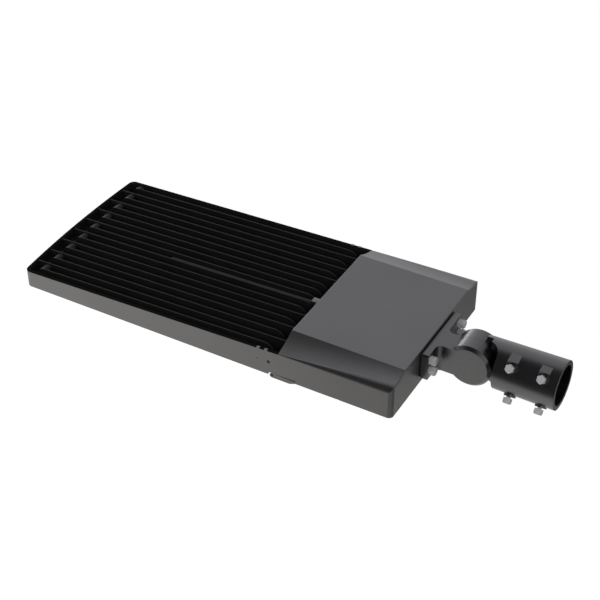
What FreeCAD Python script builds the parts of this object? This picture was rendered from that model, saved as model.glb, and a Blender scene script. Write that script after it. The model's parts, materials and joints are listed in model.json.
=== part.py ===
import FreeCAD, Part

import math
import os

# LED flood light on an adjustable slip fitter, in millimetres.
# The pieces are drawn with X from the tip towards the slip fitter, Y across and Z up from the
# bottom plane. They are then moved so that the origin lies in the mouth of the tenon bore.

Vector = FreeCAD.Vector
ALONG, ACROSS, UP = Vector(1, 0, 0), Vector(0, 1, 0), Vector(0, 0, 1)

# Housing casting
HOUSING_LENGTH = 656.7
HOUSING_WIDTH = 300.0
WALL = 3.5
TIP_HEIGHT = 29.0            # rim of the heat sink at the tip
RIM_HEIGHT = 45.0            # rim of the heat sink at the driver bay
TIP_BOW_RADIUS = 1900.0      # the tip edge is bowed outwards
TIP_CORNER = 10.0
MOUNT_CORNER = 8.0
LEDGE_WIDTH = 8.0            # shelf that carries the heat sink
LEDGE_TOP = 12.0
LEDGE_THICKNESS = 4.0

# Driver bay
BAY_LENGTH = 186.0
BAY_HEIGHT = 61.3
PANEL_WIDTH = 217.0          # flat top panel
SHOULDER_RISE = 1.0          # rise of the side wall's top along the bay
CREASE_INSET = 16.5          # how far the crease runs in from the wall at the mount end
CREASE_DROP = 5.3            # crease below the top panel at the mount end
CREASE_BOW = 0.6             # rise of the crease above a straight line at half length
COVE_SAG = 0.037             # depth of the hollow beside the panel, per length of its chord
PANEL_FRONT_EDGE = 1.0       # small round at the front of the panel
PANEL_BACK_EDGE = 1.5        # round along the top of the mount end
SEAT_FLANGE = 10.0           # width of the flange that the door gasket presses on
SEAT_THICKNESS = 4.0

# Heat sink tray
SINK_CLEARANCE = 0.3
SINK_WALL = 1.5
SINK_FLOOR = 4.5
SINK_LIP = 1.2               # lip that lies on the top of the skirt
FIN_PITCH = 16.7
FIN_THICKNESS = 1.8
SHORT_FIN_START = 20.0       # every other fin starts and ends short of the walls
SHORT_FIN_END = 12.0
FIN_NOSE = 10.0
FIN_TAIL = 22.0
PAD_START = 3.0              # crowned pad behind the nose of each short fin, from the nose
PAD_LENGTH = 13.0
PAD_BELOW_RIM = 1.0
PAD_CROWN = 2.5
TUNNEL_LENGTH = 282.0
TUNNEL_RADIUS = 6.0
TUNNEL_BELOW_RIM = 4.0
TUNNEL_CHANNEL = 7.0
TUNNEL_FLOOR = 2.0
WIRE_PASSES = (30.0, 75.0)   # holes over the boards, from the tunnel's start
WIRE_PASS_RADIUS = 2.0
SADDLE_LENGTH = 15.0
SADDLE_WALL = 2.0

# Details of the side walls
RIM_TABS = (34.0, 21.0)      # places before the driver bay
RIM_TAB_LENGTH = 5.0
RIM_TAB_RISE = 0.8
SIDE_HOLE_HEIGHT = 24.0
SIDE_HOLES = ((35.3, 1.5), (16.5, 2.75))       # place before the driver bay, radius
LATCH_NOTCHES = (96.0, 87.0)                   # places before the mount end
LATCH_NOTCH_LENGTH = 5.5
LATCH_NOTCH_HEIGHT = 2.2

# Light engines
MODULE_ROWS = 2
MODULE_GAP = 8.0
MODULE_TIP_MARGIN = 6.2      # from the shelf's opening
MODULE_BAY_MARGIN = 14.1
MODULE_SIDE_MARGIN = 6.5
MODULE_BORDER = 5.0
BOARD_THICKNESS = 1.6
CHIP_SIZE = 5.0
CHIP_HEIGHT = 0.7
LENS_THICKNESS = 2.5
LENS_AIR = 0.3               # gap between the chips and the lens plate
LENS_PITCH_X = 31.0
LENS_PITCH_Y = 34.0
LENS_EDGE = 20.0             # least distance of a dome's middle from the edge of its plate
LENS_DOME_RADIUS = 11.0
LENS_DOME_HEIGHT = 4.5
SCREW_RADIUS = 2.0           # M4 screws of the tray, the lenses and the driver
SCREW_HEAD_RADIUS = 3.6
SCREW_HEAD_HEIGHT = 2.4
SCREW_BITE = 3.0
TRAY_SCREW_COUNT = 4         # on each side wall

# Driver bay contents
DRIVER_LENGTH = 172.0
DRIVER_WIDTH = 68.0
DRIVER_HEIGHT = 36.0
DRIVER_FROM_BAY = 20.0       # from the front of the bay
DRIVER_TAB = 12.0
DRIVER_TAB_THICKNESS = 2.5
BOSS_HEIGHT = 4.0            # bosses under the panel
BOSS_RADIUS = 5.0
SURGE_GAP = 22.0             # from the driver
SURGE_Y = 70.0
SURGE_LENGTH = 46.0
SURGE_WIDTH = 26.0
SURGE_HEIGHT = 24.0
TERMINAL_GAP = 24.0          # from the driver
TERMINAL_Y = -76.0
TERMINAL_LENGTH = 42.0
TERMINAL_WIDTH = 22.0
TERMINAL_HEIGHT = 16.0

# Driver door
DOOR_THICKNESS = 3.0
DOOR_CLEARANCE = 0.8
DOOR_OVERHANG = 1.5          # how far the door reaches under the heat sink
DOOR_GASKET = 2.0
HINGE_BEFORE_BAY = 10.5
HINGE_Z = 0.3
HINGE_PIN_RADIUS = 2.0
HINGE_PIN_LENGTH = 11.0
EAR_RADIUS = 4.2
EAR_REACH = 39.5             # from the hinge
EAR_BELLY = 29.5             # from the hinge to where its lower edge turns up
EAR_CLEARANCE = 0.3
HINGE_NOTCH = 7.0            # room in front of the hinge
RUNNING_CLEARANCE = 0.05
DOOR_SCREW_Y = 100.0
DOOR_SCREW_RADIUS = 2.5
DOOR_SCREW_HEAD_RADIUS = 5.0
DOOR_SCREW_HEAD_HEIGHT = 3.0
DOOR_SCREW_REACH = 11.0
DOOR_SCREW_CLEARANCE = 0.6

# Mounting plate and arm
AXIS_HEIGHT = 35.2           # bore axis above the bottom plane
KNUCKLE_DROP = 3.0           # knuckle axis below the bore axis
GASKET_THICKNESS = 1.5
GASKET_MARGIN = 2.0
PLATE_THICKNESS = 10.5
PLATE_WIDTH = 118.0
PLATE_ABOVE = 23.0           # from the knuckle axis, for the arm too
PLATE_BELOW = 22.5
PLATE_CORNER = 3.0
ARM_FAR_SIDE = 8.0
ARM_FILLET = 9.0
BOLT_RADIUS = 4.0            # M8
BOLT_HOLE_RADIUS = 4.5
BOLT_HEAD_FLATS = 13.0
BOLT_HEAD_HEIGHT = 6.5
BOLT_SPACING_Y = 100.0
BOLT_SPACING_Z = 18.5
BOLT_RISE = 1.5              # middle of the bolts above the knuckle axis
BOLT_BITE = 10.0             # thread in the end wall's bosses
BOLT_BOSS_RADIUS = 8.0
BOLT_BOSS_LENGTH = 11.0
FLAT_WASHER_RADIUS = 7.0
FLAT_WASHER_THICKNESS = 1.6
SPRING_WASHER_RADIUS = 6.4
SPRING_WASHER_THICKNESS = 2.0
WIRE_RADIUS = 7.0            # wire way through the arm and the knuckle
WIRE_SIDE = 10.0             # wire way off the middle of the knuckle
GROMMET_RADIUS = 9.0
GROMMET_LIP = 2.0
GROMMET_BORE = 5.0

# Knuckle
KNUCKLE_RADIUS = 35.2
KNUCKLE_WIDTH = 54.0
KNUCKLE_FROM_HOUSING = 61.0
KNUCKLE_EDGE = 4.6           # chamfer
KNUCKLE_SEAM = 0.3
KNUCKLE_FLOOR = 8.0
KNUCKLE_CAVITY_RADIUS = 18.0
KNUCKLE_BOSS_RADIUS = 10.0
TOOTH_COUNT = 24
TOOTH_INNER = 20.0
TOOTH_OUTER = 31.0
TOOTH_HEIGHT = 1.2
TOOTH_RECESS = 1.5
TOOTH_FILL = 0.86            # share of the pitch that a tooth takes at its root
KNUCKLE_BOLT_RADIUS = 6.0    # M12
KNUCKLE_BOLT_FLATS = 18.0
KNUCKLE_BOLT_HEAD = 7.5
KNUCKLE_BOLT_BITE = 18.0
KNUCKLE_WASHER_RADIUS = 12.0
KNUCKLE_WASHER_THICKNESS = 2.0
KNUCKLE_SPRING_RADIUS = 10.0
KNUCKLE_SPRING_THICKNESS = 2.8

# Slip fitter tube
TUBE_LENGTH = 136.6          # knuckle axis to mouth
TUBE_RADIUS = 38.2           # at the mouth
TUBE_NECK_RADIUS = 36.4
BORE_RADIUS = 31.0
BORE_DEPTH = 90.0
TUBE_BACK = 13.0             # from the knuckle axis, beyond the arm's far side
TUBE_START = 23.8            # from the knuckle axis, beside the arm
ARM_ROOM = 0.5
NOTCH_END = 40.6             # from the knuckle axis, where the near half of the knuckle has its room
NOTCH_RADIUS = 24.0
SCOOP_CLEARANCE = 0.4        # round the near half of the knuckle
NECK_HEIGHT = 53.0
SET_SCREW_ANGLES = (38.0, -49.0)               # rows, above and below level on the near side
SET_SCREW_FROM_MOUTH = (69.6, 21.6)
SET_SCREW_HEAD_END = 51.3    # from the bore axis
SET_SCREW_HEAD_HEIGHT = 8.5
SET_SCREW_TIP_GAP = 0.3
SCREW_BOSS_WIDTH = 16.0
SCREW_BOSS_FACE = 40.5       # spot face from the bore axis

# Places that follow from the sizes above
HALF_WIDTH = HOUSING_WIDTH / 2
BAY_START = HOUSING_LENGTH - BAY_LENGTH
HALF_PANEL = PANEL_WIDTH / 2
TUNNEL_START = BAY_START - TUNNEL_LENGTH
TUNNEL_Y = -FIN_PITCH / 2    # between the middle fin and its near neighbour
DRIVER_X = BAY_START + DRIVER_FROM_BAY
SURGE_X = DRIVER_X + DRIVER_WIDTH + SURGE_GAP
TERMINAL_X = DRIVER_X + DRIVER_WIDTH + TERMINAL_GAP
DOOR_FRONT = BAY_START - DOOR_OVERHANG
HINGE_X = BAY_START - HINGE_BEFORE_BAY
EAR_END = HINGE_X + EAR_REACH
BAY_CEILING = BAY_HEIGHT - WALL
GASKET_END = HOUSING_LENGTH + GASKET_THICKNESS
PLATE_END = GASKET_END + PLATE_THICKNESS
KNUCKLE_X = HOUSING_LENGTH + KNUCKLE_FROM_HOUSING
KNUCKLE_Z = AXIS_HEIGHT - KNUCKLE_DROP
PLATE_BOTTOM = KNUCKLE_Z - PLATE_BELOW
PLATE_TOP = KNUCKLE_Z + PLATE_ABOVE
KNUCKLE_HALF = KNUCKLE_WIDTH / 2
HALF_SEAM = KNUCKLE_SEAM / 2
MOUTH_X = KNUCKLE_X + TUBE_LENGTH
SINK_TOP = LEDGE_TOP + SINK_FLOOR
SINK_INSET = WALL + SINK_CLEARANCE
SINK_END = BAY_START - SINK_CLEARANCE
SIDE_FINS = int((HALF_WIDTH - SINK_INSET - SINK_WALL - FIN_THICKNESS / 2) / FIN_PITCH)
FIN_COUNT = 2 * SIDE_FINS + 1                 # as many as the tray is wide enough for
DOOR_SEAT = DOOR_THICKNESS + DOOR_GASKET
BAY_FLOOR = DOOR_SEAT + SEAT_THICKNESS
DOOR_HALF_WIDTH = HALF_WIDTH - WALL - DOOR_CLEARANCE
DOOR_END = HOUSING_LENGTH - WALL - DOOR_CLEARANCE
SEAT_FRONT = BAY_START + WALL + SEAT_FLANGE / 2
SEAT_BACK = HOUSING_LENGTH - WALL - SEAT_FLANGE
SEAT_HALF_WIDTH = HALF_WIDTH - WALL - SEAT_FLANGE
DOOR_SCREW_X = (SEAT_BACK + HOUSING_LENGTH - WALL) / 2
BOARD_BOTTOM = LEDGE_TOP - BOARD_THICKNESS
CHIP_BOTTOM = BOARD_BOTTOM - CHIP_HEIGHT
LENS_TOP = CHIP_BOTTOM - LENS_AIR
LENS_BOTTOM = LENS_TOP - LENS_THICKNESS
BOLT_HEAD_START = PLATE_END + FLAT_WASHER_THICKNESS + SPRING_WASHER_THICKNESS
BIG = 2 * HOUSING_LENGTH


def rim(x):
    """Height of the heat sink's rim, which climbs from the tip to the driver bay."""
    return TIP_HEIGHT + (RIM_HEIGHT - TIP_HEIGHT) * x / BAY_START


def bow(inset, y):
    """Where the bowed tip edge, drawn inset from the outer wall, lies at a place across the part."""
    radius = TIP_BOW_RADIUS - inset
    return inset + radius - math.sqrt(radius ** 2 - y ** 2)


SHELF_EDGE = WALL + LEDGE_WIDTH
SHELF_END = BAY_START - LEDGE_WIDTH
SHELF_START = bow(SHELF_EDGE, HALF_WIDTH - SHELF_EDGE)
MODULE_FRONT = SHELF_START + MODULE_TIP_MARGIN
MODULE_ROOM = SHELF_END - MODULE_BAY_MARGIN - MODULE_FRONT
MODULE_LENGTH = (MODULE_ROOM - (MODULE_ROWS - 1) * MODULE_GAP) / MODULE_ROWS
MODULE_WIDTH = HALF_WIDTH - SHELF_EDGE - MODULE_SIDE_MARGIN - MODULE_GAP / 2
LENS_COUNT_ALONG = int((MODULE_LENGTH - 2 * LENS_EDGE) / LENS_PITCH_X) + 1
LENS_COUNT_ACROSS = int((MODULE_WIDTH - 2 * LENS_EDGE) / LENS_PITCH_Y) + 1


def box(x0, x1, y0, y1, z0, z1):
    return Part.makeBox(x1 - x0, y1 - y0, z1 - z0, Vector(x0, y0, z0))


def rod(radius, start, direction, length):
    return Part.makeCylinder(radius, length, start, direction)


def ring(outer, inner, start, direction, length):
    return rod(outer, start, direction, length).cut(rod(inner, start, direction, length))


def hexagon(flats, start, direction, length):
    """Hexagonal prism along direction, from start."""
    radius = flats / math.sqrt(3)
    turns = [math.radians(60 * i) for i in range(7)]
    corners = [Vector(radius * math.cos(turn), radius * math.sin(turn), 0) for turn in turns]
    prism = Part.Face(Part.makePolygon(corners)).extrude(UP * length)
    prism.Placement = FreeCAD.Placement(start, FreeCAD.Rotation(UP, direction))
    return prism


def hex_screw(flats, head_height, radius, head_start, direction, reach):
    """Hex head standing along direction from head_start, with its shank the other way."""
    head = hexagon(flats, head_start, direction, head_height)
    return head.fuse(rod(radius, head_start, direction * -1, reach)).removeSplitter()


def pan_screw(radius, head_radius, head_height, head_start, direction, reach):
    """Round head standing along direction from head_start, with its shank the other way."""
    head = rod(head_radius, head_start, direction, head_height)
    crown = [edge for edge in head.Edges if (edge.CenterOfMass - head_start).dot(direction) > head_height / 2
             and len(edge.Vertexes) == 1]
    head = head.makeFillet(head_height / 2, crown)
    return head.fuse(rod(radius, head_start, direction * -1, reach)).removeSplitter()


def side_prism(points, y0, y1):
    """Outline of (x, z) points, as thick as y0 to y1."""
    corners = [Vector(x, y0, z) for x, z in points]
    return Part.Face(Part.makePolygon(corners + corners[:1])).extrude(ACROSS * (y1 - y0))


def end_prism(points, x0, x1):
    """Outline of (y, z) points, as long as x0 to x1."""
    corners = [Vector(x0, y, z) for y, z in points]
    return Part.Face(Part.makePolygon(corners + corners[:1])).extrude(ALONG * (x1 - x0))


def plan_prism(inset, z0, z1, x0=-BIG, x1=BIG):
    """The housing's plan, drawn inset from its outer wall, between two heights."""
    half = HALF_WIDTH - inset
    corner_x = bow(inset, half)
    back = HOUSING_LENGTH - inset
    near, tip, far = Vector(corner_x, -half, z0), Vector(inset, 0, z0), Vector(corner_x, half, z0)
    near_back, far_back = Vector(back, -half, z0), Vector(back, half, z0)
    edges = [Part.Arc(near, tip, far).toShape(), Part.makeLine(far, far_back),
             Part.makeLine(far_back, near_back), Part.makeLine(near_back, near)]
    prism = Part.Face(Part.Wire(edges)).extrude(UP * (z1 - z0))
    upright = [edge for edge in prism.Edges if edge.BoundBox.ZLength > (z1 - z0) / 2]
    front = [edge for edge in upright if edge.CenterOfMass.x < HOUSING_LENGTH / 2]
    rear = [edge for edge in upright if edge.CenterOfMass.x > HOUSING_LENGTH / 2]
    prism = prism.makeFillet(max(TIP_CORNER - inset, WALL), front)
    prism = prism.makeFillet(max(MOUNT_CORNER - inset, WALL / 2), rear)
    if x0 > -BIG or x1 < BIG:
        prism = prism.common(box(x0, x1, -BIG, BIG, z0 - 1, z1 + 1))
    return prism


def below_rim(drop, x_end):
    """Everything under the sloping rim, lowered by drop, as far as x_end."""
    start = -HOUSING_LENGTH / 10
    outline = [(start, -BIG), (x_end, -BIG), (x_end, rim(x_end) - drop), (start, rim(start) - drop)]
    return side_prism(outline, -BIG, BIG)


def bay_section(share):
    """Cross-section of the driver bay: wall, round, crease, hollow and flat panel."""
    x = BAY_START + BAY_LENGTH * share
    shoulder = Vector(x, HALF_WIDTH, RIM_HEIGHT - SINK_LIP + SHOULDER_RISE * share)
    crease_end = BAY_HEIGHT - CREASE_DROP
    crease = Vector(x, HALF_WIDTH - CREASE_INSET * max(share, 0.04),
                    RIM_HEIGHT + (crease_end - RIM_HEIGHT) * share + 4 * CREASE_BOW * share * (1 - share))
    panel = Vector(x, HALF_PANEL, BAY_HEIGHT)

    def hollow(start, end):
        """Arc whose middle lies below its chord."""
        chord = end - start
        inward = -1 if start.y > 0 else 1
        below = Vector(0, inward * abs(chord.z), -abs(chord.y))
        return Part.Arc(start, (start + end) * 0.5 + below * COVE_SAG, end).toShape()

    def rounded(start, end, corner_y, corner_z):
        """Smooth curve from start to end that heads for the corner between them."""
        curve = Part.BezierCurve()
        curve.setPoles([start, Vector(x, corner_y, corner_z), end])
        return curve.toShape()

    def mirrored(point):
        return Vector(point.x, -point.y, point.z)

    foot = Vector(x, HALF_WIDTH, 0)
    edges = [
        Part.makeLine(mirrored(foot), foot),
        Part.makeLine(foot, shoulder),
        rounded(shoulder, crease, HALF_WIDTH, crease.z),
        hollow(crease, panel),
        Part.makeLine(panel, mirrored(panel)),
        hollow(mirrored(panel), mirrored(crease)),
        rounded(mirrored(crease), mirrored(shoulder), -HALF_WIDTH, crease.z),
        Part.makeLine(mirrored(shoulder), mirrored(foot)),
    ]
    return Part.Wire(edges)


def corner_cutter(side):
    """What is taken off to round the housing's upright corner at the mount end."""
    overlap = 0.01 * MOUNT_CORNER
    middle_x = HOUSING_LENGTH - MOUNT_CORNER + overlap
    middle_y = HALF_WIDTH - MOUNT_CORNER + overlap
    block = box(middle_x, HOUSING_LENGTH + 1, *y_span(side, middle_y, HALF_WIDTH + 1), -1, BAY_HEIGHT + 1)
    return block.cut(rod(MOUNT_CORNER, Vector(middle_x, side * middle_y, -2), UP, BAY_HEIGHT + 4))


def bolt_places():
    return [(y, KNUCKLE_Z + BOLT_RISE + z) for y in (-BOLT_SPACING_Y / 2, BOLT_SPACING_Y / 2)
            for z in (-BOLT_SPACING_Z / 2, BOLT_SPACING_Z / 2)]


def tray_screw_places():
    """Screws through the shelf of the skirt, along both side walls."""
    side = HALF_WIDTH - WALL - LEDGE_WIDTH / 2
    first = TIP_CORNER + 3 * LEDGE_WIDTH
    step = (HINGE_X - 2 * LEDGE_WIDTH - first) / (TRAY_SCREW_COUNT - 1)
    return [(first + step * i, y) for i in range(TRAY_SCREW_COUNT) for y in (-side, side)]


def module_centres():
    first = MODULE_FRONT + MODULE_LENGTH / 2
    return [(first + i * (MODULE_LENGTH + MODULE_GAP), side * (MODULE_WIDTH + MODULE_GAP) / 2)
            for i in range(MODULE_ROWS) for side in (-1, 1)]


def lens_places(centre):
    return [(centre[0] + (i - (LENS_COUNT_ALONG - 1) / 2) * LENS_PITCH_X,
             centre[1] + (j - (LENS_COUNT_ACROSS - 1) / 2) * LENS_PITCH_Y)
            for i in range(LENS_COUNT_ALONG) for j in range(LENS_COUNT_ACROSS)]


def lens_screw_places(centre):
    """Four screws in each lens plate, between its outer domes."""
    dx = LENS_PITCH_X * (LENS_COUNT_ALONG - 2) / 2
    dy = LENS_PITCH_Y / 2
    return [(centre[0] + a * dx, centre[1] + b * dy) for a in (-1, 1) for b in (-1, 1)]


def ceiling_bosses():
    """Bosses under the bay's panel: two for the driver, one each for surge protector and terminals."""
    driver_y = DRIVER_LENGTH / 2 + DRIVER_TAB / 2
    return [(DRIVER_X + DRIVER_WIDTH / 2, -driver_y), (DRIVER_X + DRIVER_WIDTH / 2, driver_y),
            (SURGE_X + SURGE_WIDTH / 2, SURGE_Y), (TERMINAL_X + TERMINAL_WIDTH / 2, TERMINAL_Y)]


def make_bay():
    """The driver bay's outer form, solid, with rounded corners and edges at the mount end."""
    bay = Part.makeLoft([bay_section(share) for share in (0, 0.5, 1)], True, False)
    bay = bay.cut(corner_cutter(-1)).cut(corner_cutter(1))
    upper = [edge for edge in bay.Edges if edge.BoundBox.ZMin > RIM_HEIGHT - WALL]
    back = [edge for edge in upper if edge.BoundBox.XMin > HOUSING_LENGTH - PANEL_BACK_EDGE]
    bay = bay.makeFillet(PANEL_BACK_EDGE, back)
    front = [edge for edge in bay.Edges if edge.BoundBox.ZMin > BAY_HEIGHT - PANEL_FRONT_EDGE
             and edge.BoundBox.XMax < BAY_START + PANEL_FRONT_EDGE and edge.BoundBox.YLength > HALF_PANEL]
    return bay.makeFillet(PANEL_FRONT_EDGE, front)


def make_housing():
    skirt = plan_prism(0, 0, BAY_HEIGHT).common(below_rim(SINK_LIP, BAY_START))
    body = skirt.fuse(make_bay())

    # Wells for the heat sink above the shelf and for the light engines through it
    body = body.cut(plan_prism(WALL, LEDGE_TOP, BAY_HEIGHT + 2, x1=BAY_START))
    body = body.cut(plan_prism(SHELF_EDGE, -1, LEDGE_TOP + 1, x1=SHELF_END))
    body = body.cut(plan_prism(WALL, -1, LEDGE_TOP - LEDGE_THICKNESS, x1=SHELF_END))

    # Driver bay, its opening and the pocket that the door closes
    inner, low = HALF_WIDTH - WALL, RIM_HEIGHT - 3 * WALL
    top = HALF_PANEL - 3 * WALL
    room = [(-inner, BAY_FLOOR), (inner, BAY_FLOOR), (inner, low), (top, BAY_CEILING),
            (-top, BAY_CEILING), (-inner, low)]
    body = body.cut(end_prism(room, BAY_START + WALL, HOUSING_LENGTH - WALL))
    body = body.cut(box(SEAT_FRONT, SEAT_BACK, -SEAT_HALF_WIDTH, SEAT_HALF_WIDTH,
                        DOOR_SEAT - 1, BAY_FLOOR + 1))
    body = body.cut(plan_prism(WALL, -1, DOOR_SEAT, x0=DOOR_FRONT - DOOR_CLEARANCE))

    # Round hinge lugs inside the walls, and notches for the hinge ears and the latch
    pin_foot = HALF_WIDTH - HINGE_PIN_LENGTH - 1
    for side in (-1, 1):
        y0, y1 = y_span(side, pin_foot, HALF_WIDTH - WALL)
        lug_round = rod(EAR_RADIUS, Vector(HINGE_X, y0, HINGE_Z), ACROSS, y1 - y0)
        lug_web = box(HINGE_X - EAR_RADIUS, HINGE_X + EAR_RADIUS, y0, y1, HINGE_Z, LEDGE_TOP)
        body = body.multiFuse([lug_round, lug_web])
        y0, y1 = y_span(side, HALF_WIDTH - WALL, HALF_WIDTH + 1)
        notch_top = HINGE_Z + EAR_RADIUS + EAR_CLEARANCE
        ear_room_end = EAR_END + 2 * EAR_CLEARANCE
        body = body.cut(box(HINGE_X - HINGE_NOTCH, ear_room_end, y0, y1, -EAR_RADIUS, notch_top))
        for from_mount in LATCH_NOTCHES:
            middle, half = HOUSING_LENGTH - from_mount, LATCH_NOTCH_LENGTH / 2
            body = body.cut(box(middle - half, middle + half, y0, y1, -1, LATCH_NOTCH_HEIGHT))
        wall_face = Vector(BAY_START, side * (HALF_WIDTH + 1), SIDE_HOLE_HEIGHT)
        for before_bay, radius in SIDE_HOLES:
            body = body.cut(rod(radius, wall_face - ALONG * before_bay, ACROSS * -side, WALL + 1))
        pin_start = Vector(HINGE_X, side * (HALF_WIDTH + 1), HINGE_Z)
        body = body.cut(rod(HINGE_PIN_RADIUS, pin_start, ACROSS * -side, HINGE_PIN_LENGTH + 1))
        for before_bay in RIM_TABS:
            x, half = BAY_START - before_bay, RIM_TAB_LENGTH / 2
            tab = box(x - half, x + half, *y_span(side, HALF_WIDTH - WALL, HALF_WIDTH),
                      SIDE_HOLE_HEIGHT, rim(x) + RIM_TAB_RISE)
            body = body.fuse(tab)

    # Bosses for the fasteners that thread into the casting
    for x, y in ceiling_bosses():
        foot = Vector(x, y, BAY_CEILING - BOSS_HEIGHT)
        body = body.fuse(rod(BOSS_RADIUS, foot, UP, BOSS_HEIGHT + WALL / 2))
        body = body.cut(rod(SCREW_RADIUS, foot, UP, BOSS_HEIGHT))
    end_face = HOUSING_LENGTH - WALL - BOLT_BOSS_LENGTH
    for y, z in bolt_places():
        body = body.fuse(rod(BOLT_BOSS_RADIUS, Vector(end_face, y, z), ALONG, BOLT_BOSS_LENGTH + WALL / 2))
        bite_start = Vector(HOUSING_LENGTH - BOLT_BITE, y, z)
        body = body.cut(rod(BOLT_RADIUS, bite_start, ALONG, BOLT_BITE))
    for side in (-1, 1):
        foot = Vector(DOOR_SCREW_X, side * DOOR_SCREW_Y, DOOR_SEAT)
        boss_height = DOOR_SCREW_REACH + WALL
        column = rod(DOOR_SCREW_RADIUS + WALL, foot, UP, boss_height)
        hole = rod(DOOR_SCREW_RADIUS + DOOR_SCREW_CLEARANCE, foot, UP, DOOR_SCREW_REACH)
        body = body.fuse(column).cut(hole)
    for x, y in tray_screw_places():
        body = body.cut(rod(SCREW_RADIUS, Vector(x, y, 0), UP, LEDGE_TOP))

    # Wire ways: grommet hole in the end wall, tunnel hole and saddle at the front of the bay
    wire_start = Vector(HOUSING_LENGTH - WALL, -WIRE_SIDE, KNUCKLE_Z)
    body = body.cut(rod(GROMMET_RADIUS, wire_start, ALONG, WALL))
    saddle_start = Vector(BAY_START - SADDLE_LENGTH, TUNNEL_Y, tunnel_axis(BAY_START))
    reach = TUNNEL_RADIUS + SINK_CLEARANCE
    saddle = ring(reach + SADDLE_WALL, reach, saddle_start, ALONG, SADDLE_LENGTH)
    upper = box(saddle_start.x, BAY_START, -BIG, BIG, saddle_start.z, BIG)
    body = body.fuse(saddle.common(upper))
    channel_start = Vector(BAY_START - 1, TUNNEL_Y, tunnel_axis(BAY_START))
    body = body.cut(rod(TUNNEL_CHANNEL / 2, channel_start, ALONG, WALL + 2))
    return body.removeSplitter()


def y_span(side, inner, outer):
    """Range across the part on the near (-1) or far (1) side, lowest first."""
    return sorted((side * inner, side * outer))


def tunnel_axis(x):
    """Centre of the wire tunnel's round top, parallel to the rim."""
    return rim(x) - TUNNEL_BELOW_RIM - TUNNEL_RADIUS


def make_heat_sink():
    tray = plan_prism(SINK_INSET, LEDGE_TOP, BAY_HEIGHT, x1=SINK_END)
    well = plan_prism(SINK_INSET + SINK_WALL, SINK_TOP, BAY_HEIGHT + 1)
    lip = plan_prism(0, 0, BAY_HEIGHT, x1=SINK_END).cut(below_rim(SINK_LIP, BIG))
    lip_hole = plan_prism(SINK_INSET + SINK_WALL, -1, BAY_HEIGHT + 1)
    pieces = [tray.cut(well), lip.cut(lip_hole)]

    for i in range(FIN_COUNT):
        from_centre = i - SIDE_FINS
        middle = from_centre * FIN_PITCH
        short, near_tunnel = from_centre % 2 == 0, abs(middle) < 2 * FIN_PITCH
        pieces.append(make_fin(middle, short, short or near_tunnel))
        if short:
            pieces.append(make_fin_pad(middle))
    pieces.append(make_tunnel())
    sink = pieces[0].multiFuse(pieces[1:]).common(below_rim(0, SINK_END))

    for side in (-1, 1):
        for before_bay in RIM_TABS:
            x, half = BAY_START - before_bay, RIM_TAB_LENGTH / 2 + SINK_CLEARANCE
            y0, y1 = y_span(side, HALF_WIDTH - WALL - SINK_CLEARANCE, HALF_WIDTH + 1)
            sink = sink.cut(box(x - half, x + half, y0, y1, SINK_TOP, BIG))
    channel_start = TUNNEL_START + 2 * TUNNEL_RADIUS
    half, floor = TUNNEL_CHANNEL / 2, LEDGE_TOP + TUNNEL_FLOOR
    channel = side_prism([(channel_start, floor), (BIG, floor), (BIG, tunnel_axis(BIG)),
                          (channel_start, tunnel_axis(channel_start))], TUNNEL_Y - half, TUNNEL_Y + half)
    sink = sink.cut(channel)
    for from_start in WIRE_PASSES:
        foot = Vector(TUNNEL_START + from_start, TUNNEL_Y - half, LEDGE_TOP)
        sink = sink.cut(rod(WIRE_PASS_RADIUS, foot, UP, SINK_FLOOR))
    for x, y in tray_screw_places():
        sink = sink.cut(rod(SCREW_RADIUS, Vector(x, y, LEDGE_TOP), UP, SCREW_BITE))
    for centre in module_centres():
        for x, y in lens_screw_places(centre):
            sink = sink.cut(rod(SCREW_RADIUS, Vector(x, y, LEDGE_TOP), UP, SCREW_BITE))
    return sink.removeSplitter()


def make_fin(middle, short_start, short_end):
    """One fin. Where it starts or ends short of the walls it has a rounded nose or tail."""
    start = SHORT_FIN_START if short_start else bow(SINK_INSET + SINK_WALL / 2, middle)
    end = BAY_START - SHORT_FIN_END if short_end else SINK_END
    y0, y1 = middle - FIN_THICKNESS / 2, middle + FIN_THICKNESS / 2
    fin = box(start, end, y0, y1, SINK_TOP - 1, BIG)
    if short_start:
        fin = fin.cut(fin_corner(start, min(FIN_NOSE, rim(start) - SINK_TOP), y0, y1))
    if short_end:
        fin = fin.cut(fin_corner(end, -min(FIN_TAIL, rim(end) - SINK_TOP), y0, y1))
    return fin


def fin_corner(end, inward, y0, y1):
    """What is cut from a fin's upper corner to round it, the radius given as the way inward."""
    radius, centre = abs(inward), Vector(end + inward, y0, rim(end + inward) - abs(inward))
    corner = box(*sorted((end, centre.x)), y0, y1, centre.z, BIG)
    return corner.cut(rod(radius, centre, ACROSS, y1 - y0))


def make_fin_pad(middle):
    """Crowned pad that ties the start of a short fin to its neighbour on the far side."""
    start = SHORT_FIN_START + PAD_START
    end = start + PAD_LENGTH
    top = rim(start) - PAD_BELOW_RIM

    def point(x, z):
        return Vector(x, middle, z)

    foot_start, foot_end = point(start, SINK_TOP - 1), point(end, SINK_TOP - 1)
    low_start, low_end = point(start, top - PAD_CROWN), point(end, top - PAD_CROWN)
    edges = [
        Part.makeLine(foot_end, foot_start),
        Part.makeLine(foot_start, low_start),
        Part.Arc(low_start, point((start + end) / 2, top), low_end).toShape(),
        Part.makeLine(low_end, foot_end),
    ]
    tray_wall = HALF_WIDTH - SINK_INSET - SINK_WALL / 2
    return Part.Face(Part.Wire(edges)).extrude(ACROSS * min(FIN_PITCH, tray_wall - middle))


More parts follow.
